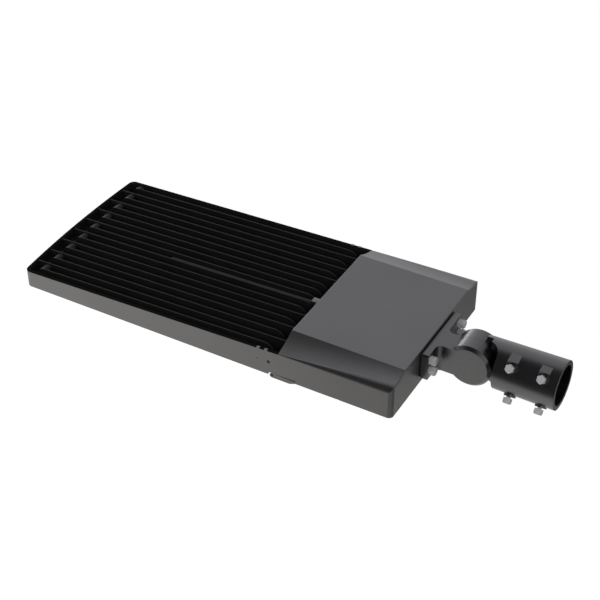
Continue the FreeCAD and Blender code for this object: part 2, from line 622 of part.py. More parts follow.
def make_tunnel():
    """Round-topped ridge that brings the wires of the light engines to the driver bay."""
    start = Vector(TUNNEL_START + TUNNEL_RADIUS, TUNNEL_Y, tunnel_axis(TUNNEL_START + TUNNEL_RADIUS))
    end = Vector(SINK_END, TUNNEL_Y, tunnel_axis(SINK_END))
    run = end - start
    top = rod(TUNNEL_RADIUS, start, run, run.Length)
    foot = side_prism([(start.x, SINK_TOP - 1), (end.x, SINK_TOP - 1), (end.x, end.z), (start.x, start.z)],
                      TUNNEL_Y - TUNNEL_RADIUS, TUNNEL_Y + TUNNEL_RADIUS)
    nose = Part.makeSphere(TUNNEL_RADIUS, start)
    nose_foot = rod(TUNNEL_RADIUS, Vector(start.x, TUNNEL_Y, SINK_TOP - 1), UP, start.z - SINK_TOP + 1)
    ridge = top.multiFuse([foot, nose, nose_foot])
    return ridge.common(box(0, SINK_END, -BIG, BIG, SINK_TOP - 1, BIG))


def screw_from_below(place, head_start, reach):
    """M4 pan-head screw that points up, with its head under head_start."""
    start = Vector(*place, head_start)
    return pan_screw(SCREW_RADIUS, SCREW_HEAD_RADIUS, SCREW_HEAD_HEIGHT, start, UP * -1, reach)


def make_tray_screws():
    reach = LEDGE_THICKNESS + SCREW_BITE
    return [screw_from_below(place, LEDGE_TOP - LEDGE_THICKNESS, reach) for place in tray_screw_places()]


def module_plate(centre, z0, z1, margin=0.0):
    half_x, half_y = MODULE_LENGTH / 2 - margin, MODULE_WIDTH / 2 - margin
    return box(centre[0] - half_x, centre[0] + half_x, centre[1] - half_y, centre[1] + half_y, z0, z1)


def drilled(plate, centre, clearance=0.0):
    """The plate with holes for the four screws of its lens."""
    for x, y in lens_screw_places(centre):
        plate = plate.cut(rod(SCREW_RADIUS + clearance, Vector(x, y, -1), UP, BAY_HEIGHT))
    return plate


def make_led_boards():
    return [drilled(module_plate(c, BOARD_BOTTOM, LEDGE_TOP, MODULE_BORDER), c) for c in module_centres()]


def make_led_chips():
    half = CHIP_SIZE / 2
    return [box(x - half, x + half, y - half, y + half, CHIP_BOTTOM, BOARD_BOTTOM)
            for centre in module_centres() for x, y in lens_places(centre)]


def make_lens_gaskets():
    seals = []
    for centre in module_centres():
        inside = module_plate(centre, LENS_TOP - 1, LEDGE_TOP + 1, MODULE_BORDER)
        seals.append(module_plate(centre, LENS_TOP, LEDGE_TOP).cut(inside))
    return seals


def make_lens_plates():
    ball = (LENS_DOME_RADIUS ** 2 + LENS_DOME_HEIGHT ** 2) / (2 * LENS_DOME_HEIGHT)
    plates = []
    for centre in module_centres():
        plate = module_plate(centre, LENS_BOTTOM, LENS_TOP)
        below = box(-BIG, BIG, -BIG, BIG, -BIG, LENS_BOTTOM + LENS_THICKNESS / 2)
        balls = [Part.makeSphere(ball, Vector(x, y, LENS_BOTTOM - LENS_DOME_HEIGHT + ball)).common(below)
                 for x, y in lens_places(centre)]
        plates.append(drilled(plate.multiFuse(balls), centre))
    return plates


def make_lens_screws():
    reach = LEDGE_TOP - LENS_BOTTOM + SCREW_BITE
    return [screw_from_below(place, LENS_BOTTOM, reach)
            for centre in module_centres() for place in lens_screw_places(centre)]


def hung_case(x, y, length, width, height, tabs):
    """A case that hangs under the panel's bosses, with fixing tabs at its ends."""
    top = BAY_CEILING - BOSS_HEIGHT
    half = length / 2
    case = box(x, x + width, y - half, y + half, top - height, top)
    upright = [edge for edge in case.Edges if edge.BoundBox.ZLength > height / 2]
    case = case.makeFillet(width / 20, upright)
    for tab_y in tabs:
        reach = DRIVER_TAB
        tab = box(x + width / 2 - reach, x + width / 2 + reach, *sorted((tab_y, y)),
                  top - DRIVER_TAB_THICKNESS, top)
        case = case.fuse(tab)
    return case.removeSplitter()


def make_driver_case():
    end = DRIVER_LENGTH / 2 + DRIVER_TAB
    case = hung_case(DRIVER_X, 0, DRIVER_LENGTH, DRIVER_WIDTH, DRIVER_HEIGHT, (-end, end))
    for x, y in ceiling_bosses()[:2]:
        case = case.cut(rod(SCREW_RADIUS, Vector(x, y, 0), UP, BAY_CEILING))
    return case


def tab_screw(place, head_start):
    """Screw from below into a boss under the panel."""
    return screw_from_below(place, head_start, BAY_CEILING - BOSS_HEIGHT - head_start + SCREW_BITE)


def make_driver_screws():
    head_start = BAY_CEILING - BOSS_HEIGHT - DRIVER_TAB_THICKNESS
    return [tab_screw(place, head_start) for place in ceiling_bosses()[:2]]


def make_surge_protector():
    case = hung_case(SURGE_X, SURGE_Y, SURGE_LENGTH, SURGE_WIDTH, SURGE_HEIGHT, ())
    x, y = ceiling_bosses()[2]
    well = rod(SCREW_HEAD_RADIUS + SINK_CLEARANCE, Vector(x, y, 0), UP, surge_seat())
    return case.cut(well).cut(rod(SCREW_RADIUS, Vector(x, y, 0), UP, BAY_CEILING))


def surge_seat():
    """Height at which the surge protector's screw head bears."""
    return BAY_CEILING - BOSS_HEIGHT - SURGE_HEIGHT / 3


def make_terminal_block():
    """Three-pole block with a raised middle, wire mouths towards the arm and screw wells below."""
    block = hung_case(TERMINAL_X, TERMINAL_Y, TERMINAL_LENGTH, TERMINAL_WIDTH, TERMINAL_HEIGHT, ())
    top = BAY_CEILING - BOSS_HEIGHT
    pole = TERMINAL_LENGTH / 4
    step = TERMINAL_HEIGHT / 2
    for edge_x in (TERMINAL_X, TERMINAL_X + TERMINAL_WIDTH):
        ledge = box(edge_x - TERMINAL_WIDTH / 4, edge_x + TERMINAL_WIDTH / 4, -BIG, BIG, 0, top - step)
        block = block.cut(ledge)
    for y in (TERMINAL_Y - pole, TERMINAL_Y + pole):
        mouth = Vector(TERMINAL_X, y, top - step / 2)
        block = block.cut(rod(step / 4, mouth, ALONG, TERMINAL_WIDTH))
    x, y = ceiling_bosses()[3]
    head_room = SCREW_HEAD_RADIUS + SINK_CLEARANCE
    block = block.cut(rod(head_room, Vector(x, y, 0), UP, terminal_seat()))
    return block.cut(rod(SCREW_RADIUS, Vector(x, y, 0), UP, BAY_CEILING))


def terminal_seat():
    """Height at which the terminal block's screw head bears."""
    return BAY_CEILING - BOSS_HEIGHT - TERMINAL_HEIGHT / 3


def make_bay_screws():
    return [tab_screw(ceiling_bosses()[2], surge_seat()), tab_screw(ceiling_bosses()[3], terminal_seat())]


def make_driver_door():
    panel = box(DOOR_FRONT, DOOR_END, -DOOR_HALF_WIDTH, DOOR_HALF_WIDTH, 0, DOOR_THICKNESS)
    panel = panel.common(plan_prism(WALL + DOOR_CLEARANCE, -1, DOOR_THICKNESS + 1))
    belly = HINGE_Z - EAR_RADIUS
    crown = HINGE_Z + EAR_RADIUS
    for side in (-1, 1):
        inner = HALF_WIDTH - WALL + EAR_CLEARANCE
        y0, y1 = y_span(side, inner, HALF_WIDTH)
        arm = side_prism([(HINGE_X, belly), (HINGE_X + EAR_BELLY, belly), (EAR_END, 0),
                          (EAR_END, DOOR_THICKNESS), (HINGE_X + EAR_RADIUS, crown), (HINGE_X, crown)], y0, y1)
        eye = rod(EAR_RADIUS, Vector(HINGE_X, y0, HINGE_Z), ACROSS, y1 - y0)
        y0, y1 = y_span(side, DOOR_HALF_WIDTH - 1, HALF_WIDTH - 1)
        web = box(DOOR_FRONT + DOOR_CLEARANCE, EAR_END, y0, y1, 0, DOOR_THICKNESS)
        panel = panel.multiFuse([arm, eye, web])
        pin_room = rod(HINGE_PIN_RADIUS + RUNNING_CLEARANCE, Vector(HINGE_X, -BIG, HINGE_Z), ACROSS, 2 * BIG)
        panel = panel.cut(pin_room)
        hole = rod(DOOR_SCREW_RADIUS, Vector(DOOR_SCREW_X, side * DOOR_SCREW_Y, -1), UP, BAY_HEIGHT)
        panel = panel.cut(hole)
    return panel.removeSplitter()


def make_door_gasket():
    margin = SEAT_FLANGE / 2
    outer_half = SEAT_HALF_WIDTH + margin
    outer = box(SEAT_FRONT - margin, SEAT_BACK + margin / 4, -outer_half, outer_half,
                DOOR_THICKNESS, DOOR_SEAT)
    inner = box(SEAT_FRONT, SEAT_BACK - margin / 2, -SEAT_HALF_WIDTH, SEAT_HALF_WIDTH, 0, BAY_FLOOR)
    seal = outer.cut(inner)
    for side in (-1, 1):
        screw = Vector(DOOR_SCREW_X, side * DOOR_SCREW_Y, 0)
        seal = seal.cut(rod(DOOR_SCREW_RADIUS + DOOR_SCREW_CLEARANCE, screw, UP, BAY_HEIGHT))
    return seal


def make_hinge_pins():
    ends = [(side, Vector(HINGE_X, side * HALF_WIDTH, HINGE_Z)) for side in (-1, 1)]
    return [rod(HINGE_PIN_RADIUS, end, ACROSS * -side, HINGE_PIN_LENGTH) for side, end in ends]


def make_door_screws():
    reach = DOOR_SEAT + DOOR_SCREW_REACH - WALL
    return [pan_screw(DOOR_SCREW_RADIUS, DOOR_SCREW_HEAD_RADIUS, DOOR_SCREW_HEAD_HEIGHT,
                      Vector(DOOR_SCREW_X, side * DOOR_SCREW_Y, 0), UP * -1, reach) for side in (-1, 1)]


def make_mount_gasket():
    half_y = PLATE_WIDTH / 2 - GASKET_MARGIN
    seal = box(HOUSING_LENGTH, GASKET_END, -half_y, half_y,
               PLATE_BOTTOM + GASKET_MARGIN, PLATE_TOP - GASKET_MARGIN)
    for y, z in bolt_places():
        seal = seal.cut(rod(BOLT_HOLE_RADIUS, Vector(HOUSING_LENGTH, y, z), ALONG, GASKET_THICKNESS))
    wire_start = Vector(HOUSING_LENGTH, -WIRE_SIDE, KNUCKLE_Z)
    return seal.cut(rod(GROMMET_RADIUS + GROMMET_LIP, wire_start, ALONG, GASKET_THICKNESS))


def make_wire_grommet():
    """Rubber bush in the end wall, with a lip on each side of it."""
    inside = Vector(HOUSING_LENGTH - WALL, -WIRE_SIDE, KNUCKLE_Z)
    core = rod(GROMMET_RADIUS, inside, ALONG, WALL)
    lips = [rod(GROMMET_RADIUS + GROMMET_LIP, inside - ALONG * GROMMET_LIP, ALONG, GROMMET_LIP),
            rod(GROMMET_RADIUS + GROMMET_LIP, inside + ALONG * WALL, ALONG, GASKET_THICKNESS)]
    bore = rod(GROMMET_BORE, inside - ALONG * 2 * GROMMET_LIP, ALONG, WALL + 4 * GROMMET_LIP)
    return core.multiFuse(lips).cut(bore).removeSplitter()


def serrations(side):
    """Ring of radial teeth that stands in the recess of a knuckle half and points at the seam."""
    centre = Vector(KNUCKLE_X, side * (HALF_SEAM + TOOTH_RECESS), KNUCKLE_Z)
    half = TOOTH_FILL * math.pi * TOOTH_INNER / TOOTH_COUNT
    rise = ACROSS * -side * TOOTH_HEIGHT
    teeth = []
    for i in range(TOOTH_COUNT):
        angle = 2 * math.pi * i / TOOTH_COUNT
        radial = Vector(math.cos(angle), 0, math.sin(angle))
        flank = Vector(-math.sin(angle), 0, math.cos(angle)) * half
        root = centre + radial * TOOTH_INNER - rise * 0.5
        ridge = Part.makePolygon([root - flank, root + flank, root + rise * 1.5, root - flank])
        teeth.append(Part.Face(ridge).extrude(radial * (TOOTH_OUTER - TOOTH_INNER)))
    return teeth


def knuckle_disc(side):
    """Plain disc of the knuckle on the near (-1) or far (1) side of its seam."""
    seam, face = side * HALF_SEAM, side * KNUCKLE_HALF
    centre = Vector(KNUCKLE_X, seam, KNUCKLE_Z)
    disc = rod(KNUCKLE_RADIUS, centre, ACROSS * side, abs(face - seam))
    outer_edge = [edge for edge in disc.Edges if abs(edge.CenterOfMass.y - face) < HALF_SEAM
                  and len(edge.Vertexes) == 1]
    return disc.makeChamfer(KNUCKLE_EDGE, outer_edge)


def with_serrated_face(body, side):
    """The knuckle half with its hollow for the wires and its ring of teeth."""
    centre = Vector(KNUCKLE_X, side * HALF_SEAM, KNUCKLE_Z)
    out = ACROSS * side
    recess = rod(TOOTH_OUTER + 1, centre, out, TOOTH_RECESS)
    hollow = ring(KNUCKLE_CAVITY_RADIUS, KNUCKLE_BOSS_RADIUS, centre, out, KNUCKLE_HALF - KNUCKLE_FLOOR)
    return body.cut(recess).cut(hollow).multiFuse(serrations(side))


def wire_way(side, start_x, end_x):
    return rod(WIRE_RADIUS, Vector(start_x, side * WIRE_SIDE, KNUCKLE_Z), ALONG, end_x - start_x)


def make_knuckle_base():
    half_y = PLATE_WIDTH / 2
    plate = box(GASKET_END, PLATE_END, -half_y, half_y, PLATE_BOTTOM, PLATE_TOP)
    along_x = [edge for edge in plate.Edges if edge.BoundBox.XLength > PLATE_THICKNESS / 2]
    plate = plate.makeFillet(PLATE_CORNER, along_x)
    arm = box(PLATE_END - 1, KNUCKLE_X, -KNUCKLE_HALF, ARM_FAR_SIDE, PLATE_BOTTOM, PLATE_TOP)
    body = plate.fuse(arm).removeSplitter()
    inside_corners = [edge for edge in body.Edges if edge.BoundBox.ZLength > PLATE_ABOVE
                      and abs(edge.CenterOfMass.x - PLATE_END) < 0.01
                      and abs(edge.CenterOfMass.y) < half_y - PLATE_CORNER - 1]
    body = body.makeFillet(ARM_FILLET, inside_corners)
    seam = Vector(KNUCKLE_X, -HALF_SEAM, KNUCKLE_Z)
    sweep = rod(KNUCKLE_RADIUS + SCOOP_CLEARANCE, seam, ACROSS, KNUCKLE_WIDTH)
    beyond_seam = box(KNUCKLE_X - KNUCKLE_RADIUS / 2, BIG, -HALF_SEAM, KNUCKLE_WIDTH, 0, BIG)
    round_end = rod(KNUCKLE_RADIUS - KNUCKLE_EDGE, Vector(KNUCKLE_X, -BIG, KNUCKLE_Z), ACROSS, 2 * BIG)
    past_axis = box(KNUCKLE_X - KNUCKLE_RADIUS / 2, BIG, -BIG, BIG, 0, BIG).cut(round_end)
    body = body.cut(sweep).cut(beyond_seam).cut(past_axis)
    body = with_serrated_face(body.fuse(knuckle_disc(-1)), -1)
    tapped = rod(KNUCKLE_BOLT_RADIUS, Vector(KNUCKLE_X, 0, KNUCKLE_Z), ACROSS * -1, KNUCKLE_BOLT_BITE)
    body = body.cut(tapped).cut(wire_way(-1, GASKET_END - 1, KNUCKLE_X - KNUCKLE_BOSS_RADIUS))
    for y, z in bolt_places():
        body = body.cut(rod(BOLT_HOLE_RADIUS, Vector(GASKET_END - 1, y, z), ALONG, PLATE_THICKNESS + 2))
    return body.removeSplitter()


def make_mount_bolts():
    reach = BOLT_HEAD_START - HOUSING_LENGTH + BOLT_BITE
    return [hex_screw(BOLT_HEAD_FLATS, BOLT_HEAD_HEIGHT, BOLT_RADIUS,
                      Vector(BOLT_HEAD_START, y, z), ALONG, reach) for y, z in bolt_places()]


def make_flat_washers():
    return [ring(FLAT_WASHER_RADIUS, BOLT_HOLE_RADIUS, Vector(PLATE_END, y, z), ALONG, FLAT_WASHER_THICKNESS)
            for y, z in bolt_places()]


def split_washer(outer, inner, start, direction, thickness):
    """Spring washer with its slanted split drawn closed to a narrow slot."""
    washer = ring(outer, inner, start, direction, thickness)
    slot = box(-thickness / 4, thickness / 4, 0, 2 * outer, -thickness, 2 * thickness)
    slot.Placement = FreeCAD.Placement(start, FreeCAD.Rotation(UP, direction))
    return washer.cut(slot)


def make_spring_washers():
    start_x = PLATE_END + FLAT_WASHER_THICKNESS
    return [split_washer(SPRING_WASHER_RADIUS, BOLT_HOLE_RADIUS, Vector(start_x, y, z), ALONG,
                         SPRING_WASHER_THICKNESS) for y, z in bolt_places()]


def make_slip_fitter():
    seam = Vector(KNUCKLE_X, HALF_SEAM, KNUCKLE_Z)
    neck_bottom = KNUCKLE_Z - NECK_HEIGHT / 2
    bore_end = MOUTH_X - BORE_DEPTH
    mouth = Vector(MOUTH_X, 0, AXIS_HEIGHT)
    tube = Part.makeCone(TUBE_RADIUS, TUBE_NECK_RADIUS, TUBE_LENGTH - TUBE_BACK, mouth, ALONG * -1)
    arm_room = box(KNUCKLE_X, KNUCKLE_X + TUBE_START, -BIG, ARM_FAR_SIDE + ARM_ROOM, -BIG, BIG)
    scoop = rod(KNUCKLE_RADIUS + SCOOP_CLEARANCE, seam, ACROSS * -1, KNUCKLE_WIDTH)
    tube = tube.cut(notch_tool()).cut(scoop).cut(arm_room)
    neck = box(KNUCKLE_X, bore_end, HALF_SEAM, KNUCKLE_HALF, neck_bottom, neck_bottom + NECK_HEIGHT)
    outer_edges = [edge for edge in neck.Edges if edge.BoundBox.XLength > WALL
                   and edge.CenterOfMass.y > KNUCKLE_HALF / 2]
    neck = neck.makeFillet(KNUCKLE_EDGE, outer_edges)
    bosses = [screw_boss(angle, x) for angle in SET_SCREW_ANGLES for x in SET_SCREW_FROM_MOUTH]
    body = with_serrated_face(tube.multiFuse([neck, knuckle_disc(1)] + bosses), 1)
    body = body.cut(rod(KNUCKLE_BOLT_RADIUS + RUNNING_CLEARANCE, seam - ACROSS, ACROSS, KNUCKLE_WIDTH))
    body = body.cut(rod(BORE_RADIUS, mouth - ALONG * BORE_DEPTH, ALONG, BORE_DEPTH + 1))
    body = body.cut(wire_way(1, KNUCKLE_X + KNUCKLE_BOSS_RADIUS, bore_end + 1))
    for angle in SET_SCREW_ANGLES:
        out = screw_direction(angle)
        for x in SET_SCREW_FROM_MOUTH:
            body = body.cut(rod(BOLT_RADIUS, mouth - ALONG * x, out, 2 * TUBE_RADIUS))
    return body.removeSplitter()


def notch_tool():
    """Room beside the fitter's knuckle half for the other half, with a round inside corner."""
    start, end = KNUCKLE_X - KNUCKLE_RADIUS, KNUCKLE_X + NOTCH_END
    lean = NOTCH_RADIUS * (1 - math.sqrt(0.5))

    def point(x, y):
        return Vector(x, y, AXIS_HEIGHT - 2 * TUBE_RADIUS)

    round_start, round_end = point(end - NOTCH_RADIUS, HALF_SEAM), point(end, HALF_SEAM - NOTCH_RADIUS)
    outer_end, outer_start = point(end, -2 * TUBE_RADIUS), point(start, -2 * TUBE_RADIUS)
    corner = point(start, HALF_SEAM)
    edges = [
        Part.makeLine(corner, round_start),
        Part.Arc(round_start, point(end - lean, HALF_SEAM - lean), round_end).toShape(),
        Part.makeLine(round_end, outer_end),
        Part.makeLine(outer_end, outer_start),
        Part.makeLine(outer_start, corner),
    ]
    return Part.Face(Part.Wire(edges)).extrude(UP * 4 * TUBE_RADIUS)


def screw_direction(angle):
    """Outward direction of a set screw, angle degrees above level on the near side."""
    return Vector(0, -math.cos(math.radians(angle)), math.sin(math.radians(angle)))


def screw_boss(angle, from_mouth):
    """Boss with a spot face: round towards the level line, squared off away from it.

    The bosses of the lower row have a level shelf behind their square side.
    """
    out = screw_direction(angle)
    away = Vector(0, -out.z, out.y) if angle < 0 else Vector(0, out.z, -out.y)
    centre = Vector(MOUTH_X - from_mouth, 0, AXIS_HEIGHT)
    half = SCREW_BOSS_WIDTH / 2
    root = centre + out * (BORE_RADIUS + 1)
    height = SCREW_BOSS_FACE - BORE_RADIUS - 1
    round_side = rod(half, root, out, height)
    corners = [root + ALONG * half, root + ALONG * half + away * half, root - ALONG * half + away * half,
               root - ALONG * half]
    square_side = Part.Face(Part.makePolygon(corners + corners[:1])).extrude(out * height)
    if angle > 0:
        return round_side.fuse(square_side)
    crest = centre + out * SCREW_BOSS_FACE + away * half - ALONG * half
    inward = crest + ACROSS * half
    base = root + away * half - ALONG * half
    shelf = Part.Face(Part.makePolygon([crest, inward, base, crest])).extrude(ALONG * SCREW_BOSS_WIDTH)
    return round_side.multiFuse([square_side, shelf])


def make_set_screws():
    head_start = SET_SCREW_HEAD_END - SET_SCREW_HEAD_HEIGHT
    reach = head_start - BORE_RADIUS - SET_SCREW_TIP_GAP
    screws = []
    for angle in SET_SCREW_ANGLES:
        out = screw_direction(angle)
        for x in SET_SCREW_FROM_MOUTH:
            start = Vector(MOUTH_X - x, 0, AXIS_HEIGHT) + out * head_start
            screws.append(hex_screw(BOLT_HEAD_FLATS, SET_SCREW_HEAD_HEIGHT, BOLT_RADIUS, start, out, reach))
    return screws


def knuckle_far(distance):
    """Point on the knuckle's axis, distance beyond its far face."""
    return Vector(KNUCKLE_X, KNUCKLE_HALF + distance, KNUCKLE_Z)


def make_knuckle_bolt():
    stack = KNUCKLE_WASHER_THICKNESS + KNUCKLE_SPRING_THICKNESS
    start = knuckle_far(stack)
    reach = stack + KNUCKLE_HALF + KNUCKLE_BOLT_BITE
    return hex_screw(KNUCKLE_BOLT_FLATS, KNUCKLE_BOLT_HEAD, KNUCKLE_BOLT_RADIUS, start, ACROSS, reach)


def make_knuckle_flat_washer():
    inner = KNUCKLE_BOLT_RADIUS + KNUCKLE_SEAM
    return ring(KNUCKLE_WASHER_RADIUS, inner, knuckle_far(0), ACROSS, KNUCKLE_WASHER_THICKNESS)


def make_knuckle_spring_washer():
    inner = KNUCKLE_BOLT_RADIUS + KNUCKLE_SEAM
    return split_washer(KNUCKLE_SPRING_RADIUS, inner, knuckle_far(KNUCKLE_WASHER_THICKNESS), ACROSS,
                        KNUCKLE_SPRING_THICKNESS)


PIECES = {
    "housing": make_housing,
    "heat_sink": make_heat_sink,
    "heat_sink_screws": make_tray_screws,
    "led_boards": make_led_boards,
    "led_chips": make_led_chips,
    "lens_gaskets": make_lens_gaskets,
    "lens_plates": make_lens_plates,
    "lens_screws": make_lens_screws,
    "driver_case": make_driver_case,
    "driver_screws": make_driver_screws,
    "surge_protector": make_surge_protector,
    "terminal_block": make_terminal_block,
    "bay_screws": make_bay_screws,
    "driver_door": make_driver_door,
    "door_gasket": make_door_gasket,
    "door_hinge_pins": make_hinge_pins,
    "door_screws": make_door_screws,
    "mount_gasket": make_mount_gasket,
    "wire_grommet": make_wire_grommet,
    "knuckle_base": make_knuckle_base,
    "mount_bolts": make_mount_bolts,
    "mount_flat_washers": make_flat_washers,
    "mount_spring_washers": make_spring_washers,
    "knuckle_bolt": make_knuckle_bolt,
    "knuckle_flat_washer": make_knuckle_flat_washer,
    "knuckle_spring_washer": make_knuckle_spring_washer,
    "slip_fitter": make_slip_fitter,
    "set_screws": make_set_screws,
}


def main():
    os.makedirs("parts", exist_ok=True)
    for name, make in PIECES.items():
        made = make()
        shape = Part.makeCompound(made) if isinstance(made, list) else made
        shape.translate(Vector(-MOUTH_X, 0, -AXIS_HEIGHT))
        shape.exportStep(f"parts/{name}.step")
        print(name, len(shape.Solids), "solids", round(shape.Volume), "mm3", shape.isValid())


main()
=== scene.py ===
import json
import math

import bmesh
import bpy
from mathutils import Matrix, Vector

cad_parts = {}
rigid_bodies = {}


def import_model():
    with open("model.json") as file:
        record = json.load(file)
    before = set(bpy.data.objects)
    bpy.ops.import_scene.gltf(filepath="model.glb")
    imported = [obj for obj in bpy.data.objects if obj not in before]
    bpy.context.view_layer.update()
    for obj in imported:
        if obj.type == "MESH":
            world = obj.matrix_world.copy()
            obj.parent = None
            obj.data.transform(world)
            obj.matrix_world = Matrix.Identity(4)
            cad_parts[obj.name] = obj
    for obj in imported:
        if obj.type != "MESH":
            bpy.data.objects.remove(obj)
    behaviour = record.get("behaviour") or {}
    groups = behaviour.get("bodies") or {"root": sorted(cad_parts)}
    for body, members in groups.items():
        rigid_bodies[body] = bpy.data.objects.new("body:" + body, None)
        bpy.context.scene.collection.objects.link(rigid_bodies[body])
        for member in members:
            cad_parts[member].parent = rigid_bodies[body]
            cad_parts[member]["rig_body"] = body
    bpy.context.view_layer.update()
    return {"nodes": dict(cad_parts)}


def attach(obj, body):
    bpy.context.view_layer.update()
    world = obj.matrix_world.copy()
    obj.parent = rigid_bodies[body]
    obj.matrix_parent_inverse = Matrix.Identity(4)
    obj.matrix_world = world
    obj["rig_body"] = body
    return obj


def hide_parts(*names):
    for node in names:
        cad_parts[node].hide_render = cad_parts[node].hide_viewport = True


# LED flood light on a slip fitter: finishes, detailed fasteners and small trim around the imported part.
# All lengths are in metres, in the part's own frame, with the origin in the mouth of the tenon bore.

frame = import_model()
nodes = frame["nodes"]

ALONG = Vector((1, 0, 0))
ACROSS = Vector((0, 1, 0))
DOWN = Vector((0, 0, -1))

# Camera, at the photograph's place
EYE = Vector((0.4400, -1.5512, 1.3540))
AZIMUTH, ELEVATION = math.radians(29.515), math.radians(37.669)
LENS_MM = 86.87
SENSOR_MM = 36.0
SHIFT = (0.0066, 0.0092)
CLIP_RANGE = (0.05, 60.0)

# Floor and its pool of light
FLOOR_HEIGHT = -0.75            # below the lamp when it hangs straight down
FLOOR_SIZE = 60.0
FLOOR_COLOUR = (0.85, 0.85, 0.85, 1)
POOL_FRONT = (-1.42, -0.42)     # soft edge towards the camera, measured along its view
POOL_RIGHT = (0.32, 0.56)       # soft edge on the right
POOL_SIDE = (-1.8, -0.9)        # the pool dims from left to right between these places
POOL_SIDE_LEVEL = 0.66
FAR_RIGHT = (0.92, 1.40)        # the floor is pale again beyond the pool
FAR_RIGHT_LEVEL = 0.6
POOL_LEAN = 0.163               # how the right edge opens with distance
POOL_OUTSIDE = 0.08             # brightness outside the pool

# Studio light
GLOW_TOWARDS = Vector((-0.6, 0.8, 0.0))
GLOW_LEVEL = 0.5                # along the back horizon
GLOW_FALL = 8.0
SKY_LEVEL = 0.45                # from the back horizon up to the zenith
SKY_SPAN = (0.16, 0.57)
STRIP_TOWARDS = Vector((-0.72, 0.69, 0.0))
STRIP_LEVEL = 1.7               # narrow light in the back horizon
STRIP_SPAN = (0.955, 0.995)
RIGHT_TOWARDS = Vector((0.95, -0.1, 0.3))      # broad fill for the sides that the photograph doesn't show
RIGHT_LEVEL = 0.42
RIGHT_SPAN = (0.36, 0.85)
LEFT_TOWARDS = Vector((-0.85, -0.5, 0.2))
LEFT_LEVEL = 0.28
LEFT_SPAN = (0.85, 0.98)
STUDIO_LEVEL = 0.05
COOL_WHITE = (0.98, 0.98, 1.03, 1)
WARM_WHITE = (1.0, 0.985, 0.97, 1)
WHITE = (1, 1, 1, 1)
KEY_LAMP = (Vector((0.7, -1.9, 1.7)), 1.6, 38.0)      # place, size and power of the soft lamps
FILL_LAMP = (Vector((-1.9, -1.3, 1.3)), 1.6, 22.0)
LAMP_AIM = Vector((-0.35, 0.0, 0.0))
SHADOW_REACH = (1.3, 3.0)       # the floor's shadow fades out between these distances
SHADOW_SHARE = 0.3
SHADOW_LIFT = 0.25              # keeps the lit floor white

# Black rim of the heat sink
RIM_INSIDE = 0.1447             # half width inside the rim
TIP_X = -0.8543
TIP_BOW = 1.9
TIP_RIM = 0.0053
RIM_BLACK = (0.0015, 0.0015, 0.0016, 1)

# Wire tunnel on the heat sink, with a painted highlight: its crown is painted paler, where its rounded
# top would catch the light
TUNNEL_Y = -0.00835
# the painted highlight on the tunnel's crown fades from full to none between these distances
TUNNEL_HIGHLIGHT_SPAN = (0.001, 0.0065)  # distance from the tunnel's axis
# colour of the painted highlight on the tunnel's crown
TUNNEL_HIGHLIGHT_COLOUR = (0.021, 0.021, 0.021, 1)
TUNNEL_ABOVE = -0.02

# Edges flatter than these are shaded round
ROUND_BELOW = math.radians(35)
TRIM_ROUND_BELOW = math.radians(20)

SAME_POINT = 1e-6               # corners of the CAD mesh nearer than this are one

# Fasteners
M4_RADIUS, M5_RADIUS, M8_RADIUS, M12_RADIUS = 0.002, 0.0025, 0.004, 0.006
SHANK_START = 0.9               # inside the head, per head height
HEX_CHAMFER = math.radians(34)
HEX_FACE_SHARE = 0.9            # round face on top of a hex head, per width across flats
MOUNT_HEAD = (0.013, 0.0065)    # hex heads: width across flats, height
SET_HEAD = (0.012, 0.0085)
SET_CHAMFER = math.radians(52)
KNUCKLE_HEAD = (0.018, 0.0075)
THREAD_PITCH = 0.00125          # M8
THREAD_DEPTH = 0.0007
THREAD_STEPS = 20               # per turn
PAN_SCREWS = (                  # node, head height, shank radius
    ("heat_sink_screws", 0.0024, M4_RADIUS),
    ("lens_screws", 0.0024, M4_RADIUS),
    ("driver_screws", 0.0024, M4_RADIUS),
    ("bay_screws", 0.0024, M4_RADIUS),
    ("door_screws", 0.003, M5_RADIUS),
)
PAN_EDGE = 0.55                 # rounded edge, per head height
RECESS_LENGTH = 1.15            # cross recess, per head radius
RECESS_WIDTH = 0.3
RECESS_DEPTH = 0.62             # per head height
RECESS_TAPER = 0.55             # size at the bottom, per size at the top

# Small trim on the castings
BAY_FRONT = -0.3836
SADDLE_HEIGHT = 0.0055          # of its middle
SADDLE_SIZE = (0.0205, 0.0148, 0.0074)
SADDLE_TOP_WIDTH = 0.0115
SADDLE_EDGE = 0.000925
BOSS_PLACES = (-0.0696, -0.0216)
BOSS_WIDTH = 0.016
BOSS_FACE = 0.0405              # from the bore axis
BOSS_ANGLE = math.radians(38)
SHELF_FRONT = (-0.0266, 0.0342)                # edges of the shelves, across and up
SHELF_BACK = (-0.0075, 0.0363)
SHELF_UNDER = 0.0305
SHELF_EDGE = 0.0004
BEAD_RADIUS = 0.0007
WALL_FACE = 0.15                # outer face of the side walls
WALL_THICKNESS = 0.0035
LATCH_PLACES = (-0.2936, -0.2846)
LATCH_SIZE = (0.0053, 0.0032, 0.0020)
LATCH_HEIGHT = -0.0341          # of its middle
LATCH_EDGE = 0.00025
LATCH_DISH = 0.0004             # border and depth of its sunk face
PLUGS = ((-0.4189, 0.00145), (-0.4001, 0.0027))    # place along the wall, radius
PLUG_HEIGHT = -0.0112
PLUG_SUNK = 0.0007
PLUG_BORDER, PLUG_SLOPE, PLUG_DISH = 1 / 4, 1 / 8, 1 / 6     # per radius

# Light emitting packages
PACKAGE_BORDER = 0.00055
PACKAGE_WELL = 0.00022
PACKAGE_EDGE = 0.0003


def towards(tree, direction):
    """How far a ray of the world looks along a direction, from -1 to 1."""
    aim = add(tree, "VectorMath", Vector=add(tree, "TexCoord").outputs["Generated"])
    aim.operation = "DOT_PRODUCT"
    aim.inputs[1].default_value = direction
    return aim.outputs["Value"]


